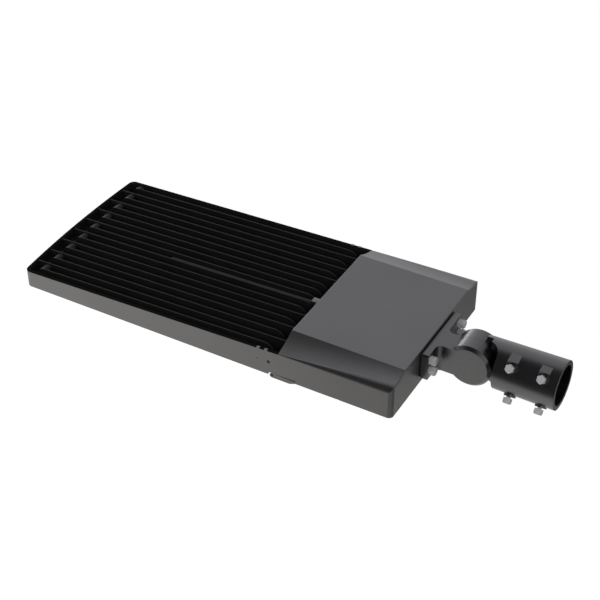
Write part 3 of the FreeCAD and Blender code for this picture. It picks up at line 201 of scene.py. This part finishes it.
def world_light():
    """Dim studio with a soft sky at the back left, brightest low down. The camera sees white."""
    world = bpy.data.worlds.new("studio")
    bpy.context.scene.world = world
    world.use_nodes = True
    tree = world.node_tree
    background = tree.nodes["Background"]
    aim = towards(tree, GLOW_TOWARDS)
    glow = maths(tree, "POWER", maths(tree, "MAXIMUM", aim, 0.0), GLOW_FALL)
    sky = ramp(tree, aim, SKY_SPAN, (STUDIO_LEVEL, STUDIO_LEVEL + SKY_LEVEL))
    strip = ramp(tree, towards(tree, STRIP_TOWARDS), STRIP_SPAN, (0, STRIP_LEVEL))
    right = ramp(tree, towards(tree, RIGHT_TOWARDS), RIGHT_SPAN, (0, RIGHT_LEVEL))
    left = ramp(tree, towards(tree, LEFT_TOWARDS), LEFT_SPAN, (0, LEFT_LEVEL))
    fill = maths(tree, "ADD", maths(tree, "ADD", right, left), strip)
    level = maths(tree, "ADD", maths(tree, "MULTIPLY_ADD", glow, GLOW_LEVEL, sky), fill)
    path = add(tree, "LightPath")
    seen = maths(tree, "MAXIMUM", path.outputs["Is Camera Ray"], path.outputs["Is Transmission Ray"])
    tree.links.new(blend(tree, seen, COOL_WHITE, WHITE), background.inputs["Color"])
    tree.links.new(maths(tree, "MAXIMUM", level, seen), background.inputs["Strength"])


def floor():
    """Pale floor, white where the camera looks, which darkens outside its pool of light."""
    plane = begin(bpy.ops.mesh.primitive_plane_add, size=FLOOR_SIZE, location=(0, 0, FLOOR_HEIGHT))
    plane.name = "floor"
    material = bpy.data.materials.new("pale_floor")
    material.use_nodes = True
    tree = material.node_tree
    tree.nodes.clear()
    place = add(tree, "TexCoord").outputs["Object"]
    turned = add(tree, "Mapping", Vector=place, Rotation=(0, 0, -AZIMUTH)).outputs["Vector"]
    axes = add(tree, "SeparateXYZ", Vector=turned).outputs
    aside = maths(tree, "MULTIPLY_ADD", axes["Y"], -POOL_LEAN, axes["X"])
    front = ramp(tree, axes["Y"], POOL_FRONT, (POOL_OUTSIDE, 1))
    right = ramp(tree, aside, POOL_RIGHT, (1, POOL_OUTSIDE))
    side = ramp(tree, axes["X"], POOL_SIDE, (1, POOL_SIDE_LEVEL))
    pool = maths(tree, "MULTIPLY", maths(tree, "MULTIPLY", front, right), side)
    pool = maths(tree, "MAXIMUM", pool, ramp(tree, axes["X"], FAR_RIGHT, (0, FAR_RIGHT_LEVEL)))
    path = add(tree, "LightPath").outputs
    from_camera = path["Is Camera Ray"]
    mirrored = maths(tree, "ADD", path["Is Glossy Ray"], path["Is Transmission Ray"])
    away = add(tree, "VectorMath", Vector=place)
    away.operation = "LENGTH"
    shadow = ramp(tree, away.outputs["Value"], SHADOW_REACH, (SHADOW_SHARE, 0))
    backdrop = maths(tree, "SUBTRACT", from_camera, maths(tree, "MULTIPLY", shadow, from_camera))
    lit = add(tree, "MixShader", Fac=maths(tree, "MAXIMUM", backdrop, mirrored))
    matt = add(tree, "BsdfDiffuse", Color=FLOOR_COLOUR)
    lifted = maths(tree, "MULTIPLY_ADD", shadow, SHADOW_LIFT / SHADOW_SHARE, from_camera)
    seen_white = maths(tree, "MULTIPLY", lifted, from_camera)
    white = add(tree, "Emission", Color=blend(tree, from_camera, WARM_WHITE, WHITE),
                Strength=maths(tree, "MAXIMUM", pool, seen_white))
    from_below = add(tree, "MixShader", Fac=add(tree, "NewGeometry").outputs["Backfacing"])
    tree.links.new(matt.outputs[0], lit.inputs[1])
    tree.links.new(white.outputs[0], lit.inputs[2])
    tree.links.new(lit.outputs[0], from_below.inputs[1])
    tree.links.new(add(tree, "BsdfTransparent").outputs[0], from_below.inputs[2])
    add(tree, "OutputMaterial", Surface=from_below.outputs[0])
    plane.data.materials.append(material)


def lamp(name, place, size, power):
    """Soft lamp that lights matt surfaces; the metallic coats mirror the glow and the floor alone."""
    data = bpy.data.lights.new(name, "AREA")
    data.size = size
    data.energy = power
    made = bpy.data.objects.new(name, data)
    bpy.context.scene.collection.objects.link(made)
    made.location = place
    made.rotation_euler = (LAMP_AIM - place).to_track_quat("-Z", "Y").to_euler()
    made.visible_glossy = False
    made.visible_camera = False


def camera():
    data = bpy.data.cameras.new("camera")
    data.lens = LENS_MM
    data.sensor_width = SENSOR_MM
    data.shift_x, data.shift_y = SHIFT
    data.clip_start, data.clip_end = CLIP_RANGE
    eye = bpy.data.objects.new("camera", data)
    bpy.context.scene.collection.objects.link(eye)
    eye.location = EYE
    eye.rotation_euler = (math.pi / 2 - ELEVATION, 0, AZIMUTH)
    bpy.context.scene.camera = eye


# Shader helpers

def add(tree, kind, **inputs):
    """Adds a shader node, and sets or links its inputs by name."""
    made = tree.nodes.new("ShaderNode" + kind)
    for name, value in inputs.items():
        connect(tree, value, made.inputs[name.replace("_", " ")])
    return made


def connect(tree, value, socket):
    if isinstance(value, bpy.types.NodeSocket):
        tree.links.new(value, socket)
    else:
        socket.default_value = value


def maths(tree, operation, *values):
    made = tree.nodes.new("ShaderNodeMath")
    made.operation = operation
    for value, socket in zip(values, made.inputs):
        connect(tree, value, socket)
    return made.outputs[0]


def ramp(tree, value, span, levels, soft=True):
    """Spreads a value from its span to two levels, with soft ends."""
    made = add(tree, "MapRange", Value=value, From_Min=span[0], From_Max=span[1],
               To_Min=levels[0], To_Max=levels[1])
    if soft:
        made.interpolation_type = "SMOOTHSTEP"
    return made.outputs["Result"]


def grain(tree, per_metre, levels, detail=3.0, stretch=(1, 1, 1)):
    """Noise of a real scale, spread between two levels."""
    place = add(tree, "TexCoord").outputs["Object"]
    along = add(tree, "Mapping", Vector=place, Scale=stretch).outputs["Vector"]
    noise = add(tree, "TexNoise", Vector=along, Scale=per_metre, Detail=detail)
    return ramp(tree, noise.outputs["Fac"], (0.3, 0.7), levels, soft=False)


def tones(tree, share, dark, pale):
    """Colours between a dark and a pale one."""
    made = add(tree, "ValToRGB", Fac=share)
    made.color_ramp.elements[0].color = (*dark, 1)
    made.color_ramp.elements[1].color = (*pale, 1)
    return made.outputs["Color"]


def blend(tree, share, first, second):
    """Mixes two colours, or two linked colours, by a share."""
    made = tree.nodes.new("ShaderNodeMix")
    made.data_type = "RGBA"
    connect(tree, share, made.inputs[0])
    connect(tree, first, made.inputs[6])
    connect(tree, second, made.inputs[7])
    return made.outputs[2]


def shaded(colour, spread):
    """A darker and a paler neighbour of a colour."""
    return tuple(c * (1 - spread) for c in colour), tuple(c * (1 + spread) for c in colour)


def new_finish(name, colour, spread, per_metre):
    """Material whose colour drifts a little over the surface; returns it with its tree and shader."""
    material = bpy.data.materials.new(name)
    material.use_nodes = True
    tree = material.node_tree
    shader = tree.nodes["Principled BSDF"]
    drift = grain(tree, per_metre, (0, 1))
    tree.links.new(tones(tree, drift, *shaded(colour, spread)), shader.inputs["Base Color"])
    return material, tree, shader


def rough(tree, shader, per_metre, levels, stretch=(1, 1, 1)):
    tree.links.new(grain(tree, per_metre, levels, stretch=stretch), shader.inputs["Roughness"])


def relief(tree, shader, per_metre, height, strength=0.5, detail=3.0, stretch=(1, 1, 1)):
    """Fine unevenness of a real height in metres."""
    wave = grain(tree, per_metre, (0, 1), detail, stretch)
    bump = add(tree, "Bump", Strength=strength, Distance=height, Height=wave)
    tree.links.new(bump.outputs["Normal"], shader.inputs["Normal"])


# Finishes

def powder_coat(name, colour, gloss):
    """Metallic grey powder coat with orange peel, between two levels of roughness."""
    material, tree, shader = new_finish(name, colour, 0.035, 9)
    shader.inputs["Metallic"].default_value = 1.0
    rough(tree, shader, 1100, gloss)
    relief(tree, shader, 520, 0.00002)
    return material


def black_coat():
    """Black coat of the heat sink, dead flat and darker along its rim, with a painted highlight along the
    crown of the wire tunnel.
    """
    material, tree, shader = new_finish("sink_black_coat", (0.0075, 0.0075, 0.0077), 0.12, 30)
    shader.inputs["Specular IOR Level"].default_value = 0.21
    place = add(tree, "SeparateXYZ", Vector=add(tree, "TexCoord").outputs["Object"]).outputs
    beside = maths(tree, "GREATER_THAN", maths(tree, "ABSOLUTE", place["Y"]), RIM_INSIDE)
    squared = maths(tree, "MULTIPLY", place["Y"], place["Y"])
    bowed = maths(tree, "MULTIPLY_ADD", squared, -0.5 / TIP_BOW, place["X"])
    before = maths(tree, "LESS_THAN", bowed, TIP_X + TIP_RIM)
    rim = maths(tree, "MAXIMUM", beside, before)
    coat = shader.inputs["Base Color"].links[0].from_socket
    # painted highlight: the crown of the wire tunnel is painted paler, in place of the light its rounded
    # top would catch
    off_axis = maths(tree, "ABSOLUTE", maths(tree, "SUBTRACT", place["Y"], TUNNEL_Y))
    painted_highlight = maths(tree, "MULTIPLY", ramp(tree, off_axis, TUNNEL_HIGHLIGHT_SPAN, (1, 0)),
                  maths(tree, "GREATER_THAN", place["Z"], TUNNEL_ABOVE))
    coat = blend(tree, painted_highlight, coat, TUNNEL_HIGHLIGHT_COLOUR)
    tree.links.new(blend(tree, rim, coat, RIM_BLACK), shader.inputs["Base Color"])
    gloss = grain(tree, 900, (0.3, 0.38))
    tree.links.new(maths(tree, "MAXIMUM", gloss, rim), shader.inputs["Roughness"])
    relief(tree, shader, 700, 0.00003)
    return material


def zinc_plate():
    """Pale zinc plating, milky rather than mirror bright."""
    material, tree, shader = new_finish("zinc_plating", (0.46, 0.46, 0.475), 0.08, 320)
    shader.inputs["Metallic"].default_value = 0.4
    rough(tree, shader, 700, (0.34, 0.48))
    relief(tree, shader, 1500, 0.00002)
    return material


def dark_steel():
    material, tree, shader = new_finish("blackened_steel", (0.03, 0.03, 0.032), 0.2, 400)
    shader.inputs["Metallic"].default_value = 0.8
    rough(tree, shader, 900, (0.4, 0.55))
    relief(tree, shader, 1500, 0.00002)
    return material


def seal_rubber():
    material, tree, shader = new_finish("seal_rubber", (0.025, 0.025, 0.025), 0.25, 180)
    rough(tree, shader, 600, (0.6, 0.75))
    relief(tree, shader, 900, 0.00006)
    return material


def clear_lens():
    """Clear moulded acrylic."""
    material, tree, shader = new_finish("clear_acrylic", (0.96, 0.97, 0.98), 0.01, 25)
    shader.inputs["Transmission Weight"].default_value = 1.0
    shader.inputs["IOR"].default_value = 1.49
    rough(tree, shader, 60, (0.03, 0.07))
    relief(tree, shader, 120, 0.00002, 0.3)
    return material


def board_mask():
    """White solder mask of the light boards."""
    material, tree, shader = new_finish("white_solder_mask", (0.78, 0.78, 0.76), 0.03, 60)
    rough(tree, shader, 400, (0.36, 0.46))
    relief(tree, shader, 900, 0.00002)
    return material


def ceramic():
    material, tree, shader = new_finish("package_ceramic", (0.8, 0.8, 0.78), 0.03, 300)
    rough(tree, shader, 1200, (0.42, 0.52))
    relief(tree, shader, 2200, 0.00001)
    return material


def phosphor():
    material, tree, shader = new_finish("yellow_phosphor", (0.85, 0.66, 0.16), 0.06, 700)
    rough(tree, shader, 1500, (0.5, 0.62))
    relief(tree, shader, 2600, 0.00001)
    return material


def driver_metal():
    """Extruded aluminium with fine lines along the case."""
    material, tree, shader = new_finish("driver_aluminium", (0.55, 0.56, 0.57), 0.05, 40)
    shader.inputs["Metallic"].default_value = 0.9
    rough(tree, shader, 900, (0.32, 0.46), stretch=(1, 0.02, 1))
    relief(tree, shader, 1400, 0.00002, stretch=(1, 0.02, 1))
    return material


def moulded_plastic(name, colour):
    material, tree, shader = new_finish(name, colour, 0.05, 50)
    rough(tree, shader, 800, (0.44, 0.54))
    relief(tree, shader, 1300, 0.00003)
    return material


def dress(material, *names):
    for name in names:
        mesh = nodes[name].data
        mesh.materials.clear()
        mesh.materials.append(material)


# Modelling helpers

def begin(add_primitive, **size):
    """Adds a primitive, selected alone, and returns it."""
    bpy.ops.object.select_all(action="DESELECT")
    add_primitive(**size)
    return bpy.context.object


def choose(piece, kind, test):
    """Goes to edit mode with those faces, edges or points selected whose corners all pass the test."""
    bpy.ops.object.mode_set(mode="EDIT")
    bpy.ops.mesh.select_mode(type=kind)
    bpy.ops.mesh.select_all(action="DESELECT")
    bpy.ops.object.mode_set(mode="OBJECT")
    mesh = piece.data
    for part in {"FACE": mesh.polygons, "EDGE": mesh.edges, "VERT": mesh.vertices}[kind]:
        corners = [part.co] if kind == "VERT" else [mesh.vertices[i].co for i in part.vertices]
        part.select = all(map(test, corners))
    bpy.ops.object.mode_set(mode="EDIT")


def done():
    bpy.ops.object.mode_set(mode="OBJECT")


def activate(piece):
    bpy.ops.object.select_all(action="DESELECT")
    piece.select_set(True)
    bpy.context.view_layer.objects.active = piece


def carve(piece, tool, operation):
    """Cuts a piece with a tool, or keeps what both share, and deletes the tool."""
    activate(piece)
    cut = piece.modifiers.new("cut", "BOOLEAN")
    cut.object = tool
    cut.operation = operation
    cut.solver = "EXACT"
    bpy.ops.object.modifier_apply(modifier=cut.name)
    bpy.data.objects.remove(tool)


def join(pieces):
    activate(pieces[0])
    for piece in pieces:
        piece.select_set(True)
    if len(pieces) > 1:
        bpy.ops.object.join()
    return bpy.context.object


def solids(node):
    """Points of each separate solid of a CAD node, in the order of the node's mesh."""
    shape = bmesh.new()
    shape.from_mesh(nodes[node].data)
    bmesh.ops.remove_doubles(shape, verts=shape.verts, dist=SAME_POINT)
    left = set(shape.verts)
    found = []
    for start in shape.verts:
        if start not in left:
            continue
        left.remove(start)
        front = [start]
        points = []
        while front:
            vert = front.pop()
            points.append(vert.co.copy())
            near = {edge.other_vert(vert) for edge in vert.link_edges} & left
            left -= near
            front.extend(near)
        found.append(points)
    shape.free()
    return found


def middle(points):
    low = Vector(map(min, zip(*points)))
    high = Vector(map(max, zip(*points)))
    return (low + high) / 2


def reach(points, out):
    """Lowest and highest place of some points along a direction."""
    places = [point.dot(out) for point in points]
    return min(places), max(places)


def head_end(points, out):
    """The middle of a fastener's outer end, on its own axis."""
    centre = middle(points)
    return centre + out * (reach(points, out)[1] - centre.dot(out))


def standing(place, out):
    """Where a piece modelled upright at the origin goes, with its top along a direction."""
    return Matrix.Translation(place) @ out.to_track_quat("Z", "Y").to_matrix().to_4x4()


def place_copies(piece, name, places, node, stands_for_node=True):
    """Copies a piece to its places and joins the copies into one.

    It stands for a CAD node, or is trim that rides along with it.
    """
    copies = []
    for place in places:
        copy = piece.copy()
        copy.data = piece.data.copy()
        copy.matrix_world = place
        bpy.context.scene.collection.objects.link(copy)
        copies.append(copy)
    bpy.data.objects.remove(piece)
    activate(copies[0])
    for copy in copies:
        copy.select_set(True)
    bpy.ops.object.transform_apply(location=True, rotation=True, scale=True)
    made = join(copies)
    made.name = name
    made.data.name = name
    bpy.ops.object.shade_smooth_by_angle(angle=ROUND_BELOW if stands_for_node else TRIM_ROUND_BELOW)
    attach(made, nodes[node]["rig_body"])
    if stands_for_node:
        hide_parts(node)


# Fasteners, each modelled upright with the end of its head at the origin

def hex_head(flats, height, chamfer=HEX_CHAMFER):
    """Hexagon whose corners are turned off by a cone."""
    corner = flats / math.sqrt(3)
    face = HEX_FACE_SHARE * flats / 2
    drop = (corner - face) * math.tan(chamfer)
    head = begin(bpy.ops.mesh.primitive_cylinder_add, vertices=6, radius=corner, depth=height,
                 location=(0, 0, -height / 2))
    bpy.ops.object.transform_apply(location=True)
    blank = begin(bpy.ops.mesh.primitive_cylinder_add, vertices=48, radius=corner, depth=height,
                  location=(0, 0, -height / 2 - drop))
    bpy.ops.object.transform_apply(location=True)
    choose(blank, "FACE", lambda point: point.z > -drop - height / 4)
    bpy.ops.mesh.extrude_region_move(TRANSFORM_OT_translate={"value": (0, 0, drop)})
    bpy.ops.transform.resize(value=(face / corner, face / corner, 1))
    choose(blank, "FACE", lambda point: point.z < -height)
    bpy.ops.transform.translate(value=(0, 0, -height / 4))
    done()
    carve(head, blank, "INTERSECT")
    return head


def shank(radius, top, bottom):
    """Plain rod with a turned end."""
    rod = begin(bpy.ops.mesh.primitive_cylinder_add, vertices=32, radius=radius, depth=top - bottom,
                location=(0, 0, (top + bottom) / 2))
    bpy.ops.object.transform_apply(location=True)
    choose(rod, "EDGE", lambda point: point.z < bottom + radius / 10)
    bpy.ops.mesh.bevel(offset=radius / 4, segments=2, affect="EDGES")
    done()
    return rod


def thread(radius, top, bottom):
    """Helical ridge with closed ends."""
    ridge = begin(bpy.ops.mesh.primitive_circle_add, vertices=3, radius=THREAD_DEPTH, fill_type="NOTHING",
                  location=(radius - THREAD_DEPTH / 2, 0, bottom + THREAD_PITCH),
                  rotation=(math.pi / 2, 0, -math.pi / 2))
    bpy.ops.object.transform_apply(location=True, rotation=True)
    turns = int((top - bottom) / THREAD_PITCH) - 1
    helix = ridge.modifiers.new("helix", "SCREW")
    helix.axis = "Z"
    helix.screw_offset = THREAD_PITCH
    helix.iterations = turns
    helix.steps = helix.render_steps = THREAD_STEPS
    bpy.ops.object.modifier_apply(modifier=helix.name)
    bpy.ops.object.mode_set(mode="EDIT")
    bpy.ops.mesh.select_all(action="SELECT")
    bpy.ops.mesh.fill_holes(sides=3)
    bpy.ops.mesh.select_all(action="SELECT")
    bpy.ops.mesh.normals_make_consistent(inside=False)
    done()
    return ridge


def pan_screw(radius, height, length, shank_radius):
    """Round head with a cross recess, on a plain shank."""
    head = begin(bpy.ops.mesh.primitive_cylinder_add, vertices=40, radius=radius, depth=height,
                 location=(0, 0, -height / 2))
    bpy.ops.object.transform_apply(location=True)
    choose(head, "EDGE", lambda point: point.z > -height / 4)
    bpy.ops.mesh.bevel(offset=height * PAN_EDGE, segments=5, affect="EDGES")
    done()
    for turn in (0, math.pi / 2):
        slot = begin(bpy.ops.mesh.primitive_cube_add, size=1, location=(0, 0, 0), rotation=(0, 0, turn),
                     scale=(RECESS_LENGTH * radius, RECESS_WIDTH * radius, 2 * RECESS_DEPTH * height))
        bpy.ops.object.transform_apply(rotation=True, scale=True)
        choose(slot, "FACE", lambda point: point.z < 0)
        bpy.ops.transform.resize(value=(RECESS_TAPER, RECESS_TAPER, 1))
        done()
        carve(head, slot, "DIFFERENCE")
    return join([head, shank(shank_radius, -height * SHANK_START, -length)])


def mount_bolts(material):
    flats, height = MOUNT_HEAD
    bolts = solids("mount_bolts")
    low, high = reach(bolts[0], ALONG)
    bolt = join([hex_head(flats, height), shank(M8_RADIUS, -height * SHANK_START, low - high)])
    bolt.data.materials.append(material)
    places = [standing(head_end(points, ALONG), ALONG) for points in bolts]
    place_copies(bolt, "mount_hex_bolts", places, "mount_bolts")


def knuckle_bolt(material):
    flats, height = KNUCKLE_HEAD
    points = solids("knuckle_bolt")[0]
    low, high = reach(points, ACROSS)
    bolt = join([hex_head(flats, height), shank(M12_RADIUS, -height * SHANK_START, low - high)])
    bolt.data.materials.append(material)
    place = standing(head_end(points, ACROSS), ACROSS)
    place_copies(bolt, "knuckle_hex_bolt", [place], "knuckle_bolt")


def set_screws(material):
    flats, height = SET_HEAD
    places, lengths = [], []
    for points in solids("set_screws"):
        centre = middle(points)
        out = Vector((0, centre.y, centre.z)).normalized()
        low, high = reach(points, out)
        lengths.append(high - low)
        places.append(standing(Vector((centre.x, 0, 0)) + out * high, out))
    tip, core = -max(lengths), M8_RADIUS - THREAD_DEPTH
    screw = join([hex_head(flats, height, SET_CHAMFER), shank(core, -height * SHANK_START, tip),
                  thread(core, -height, tip)])
    screw.data.materials.append(material)
    place_copies(screw, "set_hex_screws", places, "set_screws")


def small_screws(material):
    """Cross recessed pan heads, which all look down. A node's screws have its shortest one's length."""
    for node, height, shank_radius in PAN_SCREWS:
        screws = solids(node)
        left, right = reach(screws[0], ALONG)
        length = min(high - low for low, high in (reach(points, DOWN) for points in screws))
        screw = pan_screw((right - left) / 2, height, length, shank_radius)
        screw.data.materials.append(material)
        places = [standing(head_end(points, DOWN), DOWN) for points in screws]
        place_copies(screw, node + "_pan_heads", places, node)


# Light emitting packages

def packages(body_material, glow_material):
    """Square packages with a sunk yellow field, looking down."""
    chips = solids("led_chips")
    low, high = reach(chips[0], DOWN)
    left, right = reach(chips[0], ALONG)
    size, height = right - left, high - low
    package = begin(bpy.ops.mesh.primitive_cube_add, size=1, location=(0, 0, -height / 2),
                    scale=(size, size, height))
    bpy.ops.object.transform_apply(location=True, scale=True)
    package.data.materials.append(body_material)
    package.data.materials.append(glow_material)
    choose(package, "EDGE", lambda point: True)
    bpy.ops.mesh.bevel(offset=PACKAGE_EDGE, segments=2, affect="EDGES")
    done()
    choose(package, "FACE", lambda point: point.z > -height / 10)
    bpy.ops.mesh.inset(thickness=PACKAGE_BORDER)
    bpy.ops.mesh.inset(thickness=PACKAGE_WELL, depth=-PACKAGE_WELL)
    package.active_material_index = 1
    bpy.ops.object.material_slot_assign()
    done()
    places = [standing(head_end(points, DOWN), DOWN) for points in chips]
    place_copies(package, "led_packages", places, "led_chips")


# Small trim on the castings

def tunnel_saddle(material):
    """Flat topped saddle with leaning sides, over the end of the wire tunnel."""
    length, width, _ = SADDLE_SIZE
    saddle = begin(bpy.ops.mesh.primitive_cube_add, size=1, scale=SADDLE_SIZE)
    bpy.ops.object.transform_apply(scale=True)
    choose(saddle, "FACE", lambda point: point.z > 0)
    bpy.ops.transform.resize(value=(1, SADDLE_TOP_WIDTH / width, 1))
    choose(saddle, "EDGE", lambda point: point.z > 0)
    bpy.ops.mesh.bevel(offset=SADDLE_EDGE, segments=3, affect="EDGES")
    done()
    saddle.data.materials.append(material)
    place = Matrix.Translation((BAY_FRONT - length / 2, TUNNEL_Y, SADDLE_HEIGHT))
    place_copies(saddle, "tunnel_saddle_cap", [place], "housing", stands_for_node=False)


def boss_shelves(material):
    """Shelves, nearly level, that join the upper screw bosses to the top of the tube."""
    (front, front_up), (back, back_up) = SHELF_FRONT, SHELF_BACK
    shelf = begin(bpy.ops.mesh.primitive_cube_add, size=1,
                  location=(0, (front + back) / 2, (SHELF_UNDER + back_up) / 2),
                  scale=(BOSS_WIDTH, back - front, back_up - SHELF_UNDER))
    bpy.ops.object.transform_apply(location=True, scale=True)
    choose(shelf, "EDGE", lambda point: point.y < (front + back) / 2 and point.z > back_up - SHELF_EDGE)
    bpy.ops.transform.translate(value=(0, 0, front_up - back_up))
    bpy.ops.mesh.bevel(offset=SHELF_EDGE, segments=2, affect="EDGES")
    done()
    shelf.data.materials.append(material)
    places = [Matrix.Translation((x, 0, 0)) for x in BOSS_PLACES]
    place_copies(shelf, "screw_boss_shelves", places, "slip_fitter", stands_for_node=False)


def boss_beads(material):
    """Fine bead round the spot face of each upper screw boss, open towards the shelf."""
    half = BOSS_WIDTH / 2 - BEAD_RADIUS
    bead = begin(bpy.ops.mesh.primitive_circle_add, vertices=32, radius=half, fill_type="NOTHING")
    choose(bead, "EDGE", lambda point: point.y > -half / 1000)
    bpy.ops.mesh.delete(type="EDGE")
    done()
    for side in (-1, 1):
        choose(bead, "VERT", lambda point: side * point.x > half * 0.999)
        bpy.ops.mesh.extrude_region_move(TRANSFORM_OT_translate={"value": (0, half, 0)})
        done()
    bpy.ops.object.convert(target="CURVE")
    bead.data.bevel_depth = BEAD_RADIUS
    bead.data.bevel_resolution = 2
    bead.data.use_fill_caps = True
    bpy.ops.object.convert(target="MESH")
    bead.data.materials.clear()
    bead.data.materials.append(material)
    turn = Matrix.Rotation(math.pi / 2 - BOSS_ANGLE, 4, "X")
    out = Vector((0, -math.cos(BOSS_ANGLE), math.sin(BOSS_ANGLE)))
    places = [Matrix.Translation(Vector((x, 0, 0)) + out * BOSS_FACE) @ turn for x in BOSS_PLACES]
    place_copies(bead, "screw_boss_beads", places, "slip_fitter", stands_for_node=False)


def latch_clips(material):
    """Spring clips of the door in the notches of the side walls."""
    clip = begin(bpy.ops.mesh.primitive_cube_add, size=1, scale=LATCH_SIZE)
    bpy.ops.object.transform_apply(scale=True)
    choose(clip, "EDGE", lambda point: True)
    bpy.ops.mesh.bevel(offset=LATCH_EDGE, segments=2, affect="EDGES")
    done()
    choose(clip, "FACE", lambda point: point.y < -0.49 * LATCH_SIZE[1])
    bpy.ops.mesh.inset(thickness=LATCH_DISH, depth=-LATCH_DISH)
    done()
    clip.data.materials.append(material)
    inward = WALL_FACE - WALL_THICKNESS / 2
    places = [Matrix.Translation((x, side * inward, LATCH_HEIGHT)) @ Matrix.Rotation(turn, 4, "Z")
              for x in LATCH_PLACES for side, turn in ((-1, 0), (1, math.pi))]
    place_copies(clip, "door_latch_clips", places, "housing", stands_for_node=False)


def wall_plugs(material):
    """Sunk plugs in the small holes of the side walls."""
    depth = WALL_THICKNESS - PLUG_SUNK
    for number, (x, radius) in enumerate(PLUGS, 1):
        plug = begin(bpy.ops.mesh.primitive_cylinder_add, vertices=24, radius=radius, depth=depth,
                     location=(0, 0, -depth / 2))
        bpy.ops.object.transform_apply(location=True)
        choose(plug, "FACE", lambda point: point.z > -depth / 4)
        bpy.ops.mesh.inset(thickness=PLUG_BORDER * radius)
        bpy.ops.mesh.inset(thickness=PLUG_SLOPE * radius, depth=-PLUG_DISH * radius)
        done()
        plug.data.materials.append(material)
        places = [standing(Vector((x, side * (WALL_FACE - PLUG_SUNK), PLUG_HEIGHT)), side * ACROSS)
                  for side in (-1, 1)]
        place_copies(plug, f"wall_plugs_{number}", places, "housing",
                     stands_for_node=False)


bpy.context.scene.view_settings.view_transform = "Standard"
world_light()
lamp("key_lamp", *KEY_LAMP)
lamp("fill_lamp", *FILL_LAMP)
floor()
camera()

housing_coat = powder_coat("housing_powder_coat", (0.215, 0.214, 0.213), (0.35, 0.41))
fitter_coat = powder_coat("fitter_powder_coat", (0.185, 0.185, 0.186), (0.25, 0.31))
zinc = zinc_plate()
rubber = seal_rubber()
dress(housing_coat, "housing", "driver_door")
dress(fitter_coat, "knuckle_base", "slip_fitter")
dress(black_coat(), "heat_sink")
dress(zinc, "mount_flat_washers", "mount_spring_washers", "knuckle_flat_washer", "knuckle_spring_washer")
dress(dark_steel(), "door_hinge_pins")
dress(rubber, "lens_gaskets", "door_gasket", "mount_gasket", "wire_grommet")
dress(clear_lens(), "lens_plates")
dress(board_mask(), "led_boards")
dress(driver_metal(), "driver_case")
black_plastic = moulded_plastic("black_plastic", (0.02, 0.02, 0.022))
dress(black_plastic, "surge_protector")
dress(moulded_plastic("grey_plastic", (0.45, 0.46, 0.46)), "terminal_block")

mount_bolts(zinc)
knuckle_bolt(zinc)
set_screws(zinc)
small_screws(zinc)
packages(ceramic(), phosphor())
tunnel_saddle(housing_coat)
boss_shelves(fitter_coat)
boss_beads(fitter_coat)
latch_clips(black_plastic)
wall_plugs(black_plastic)
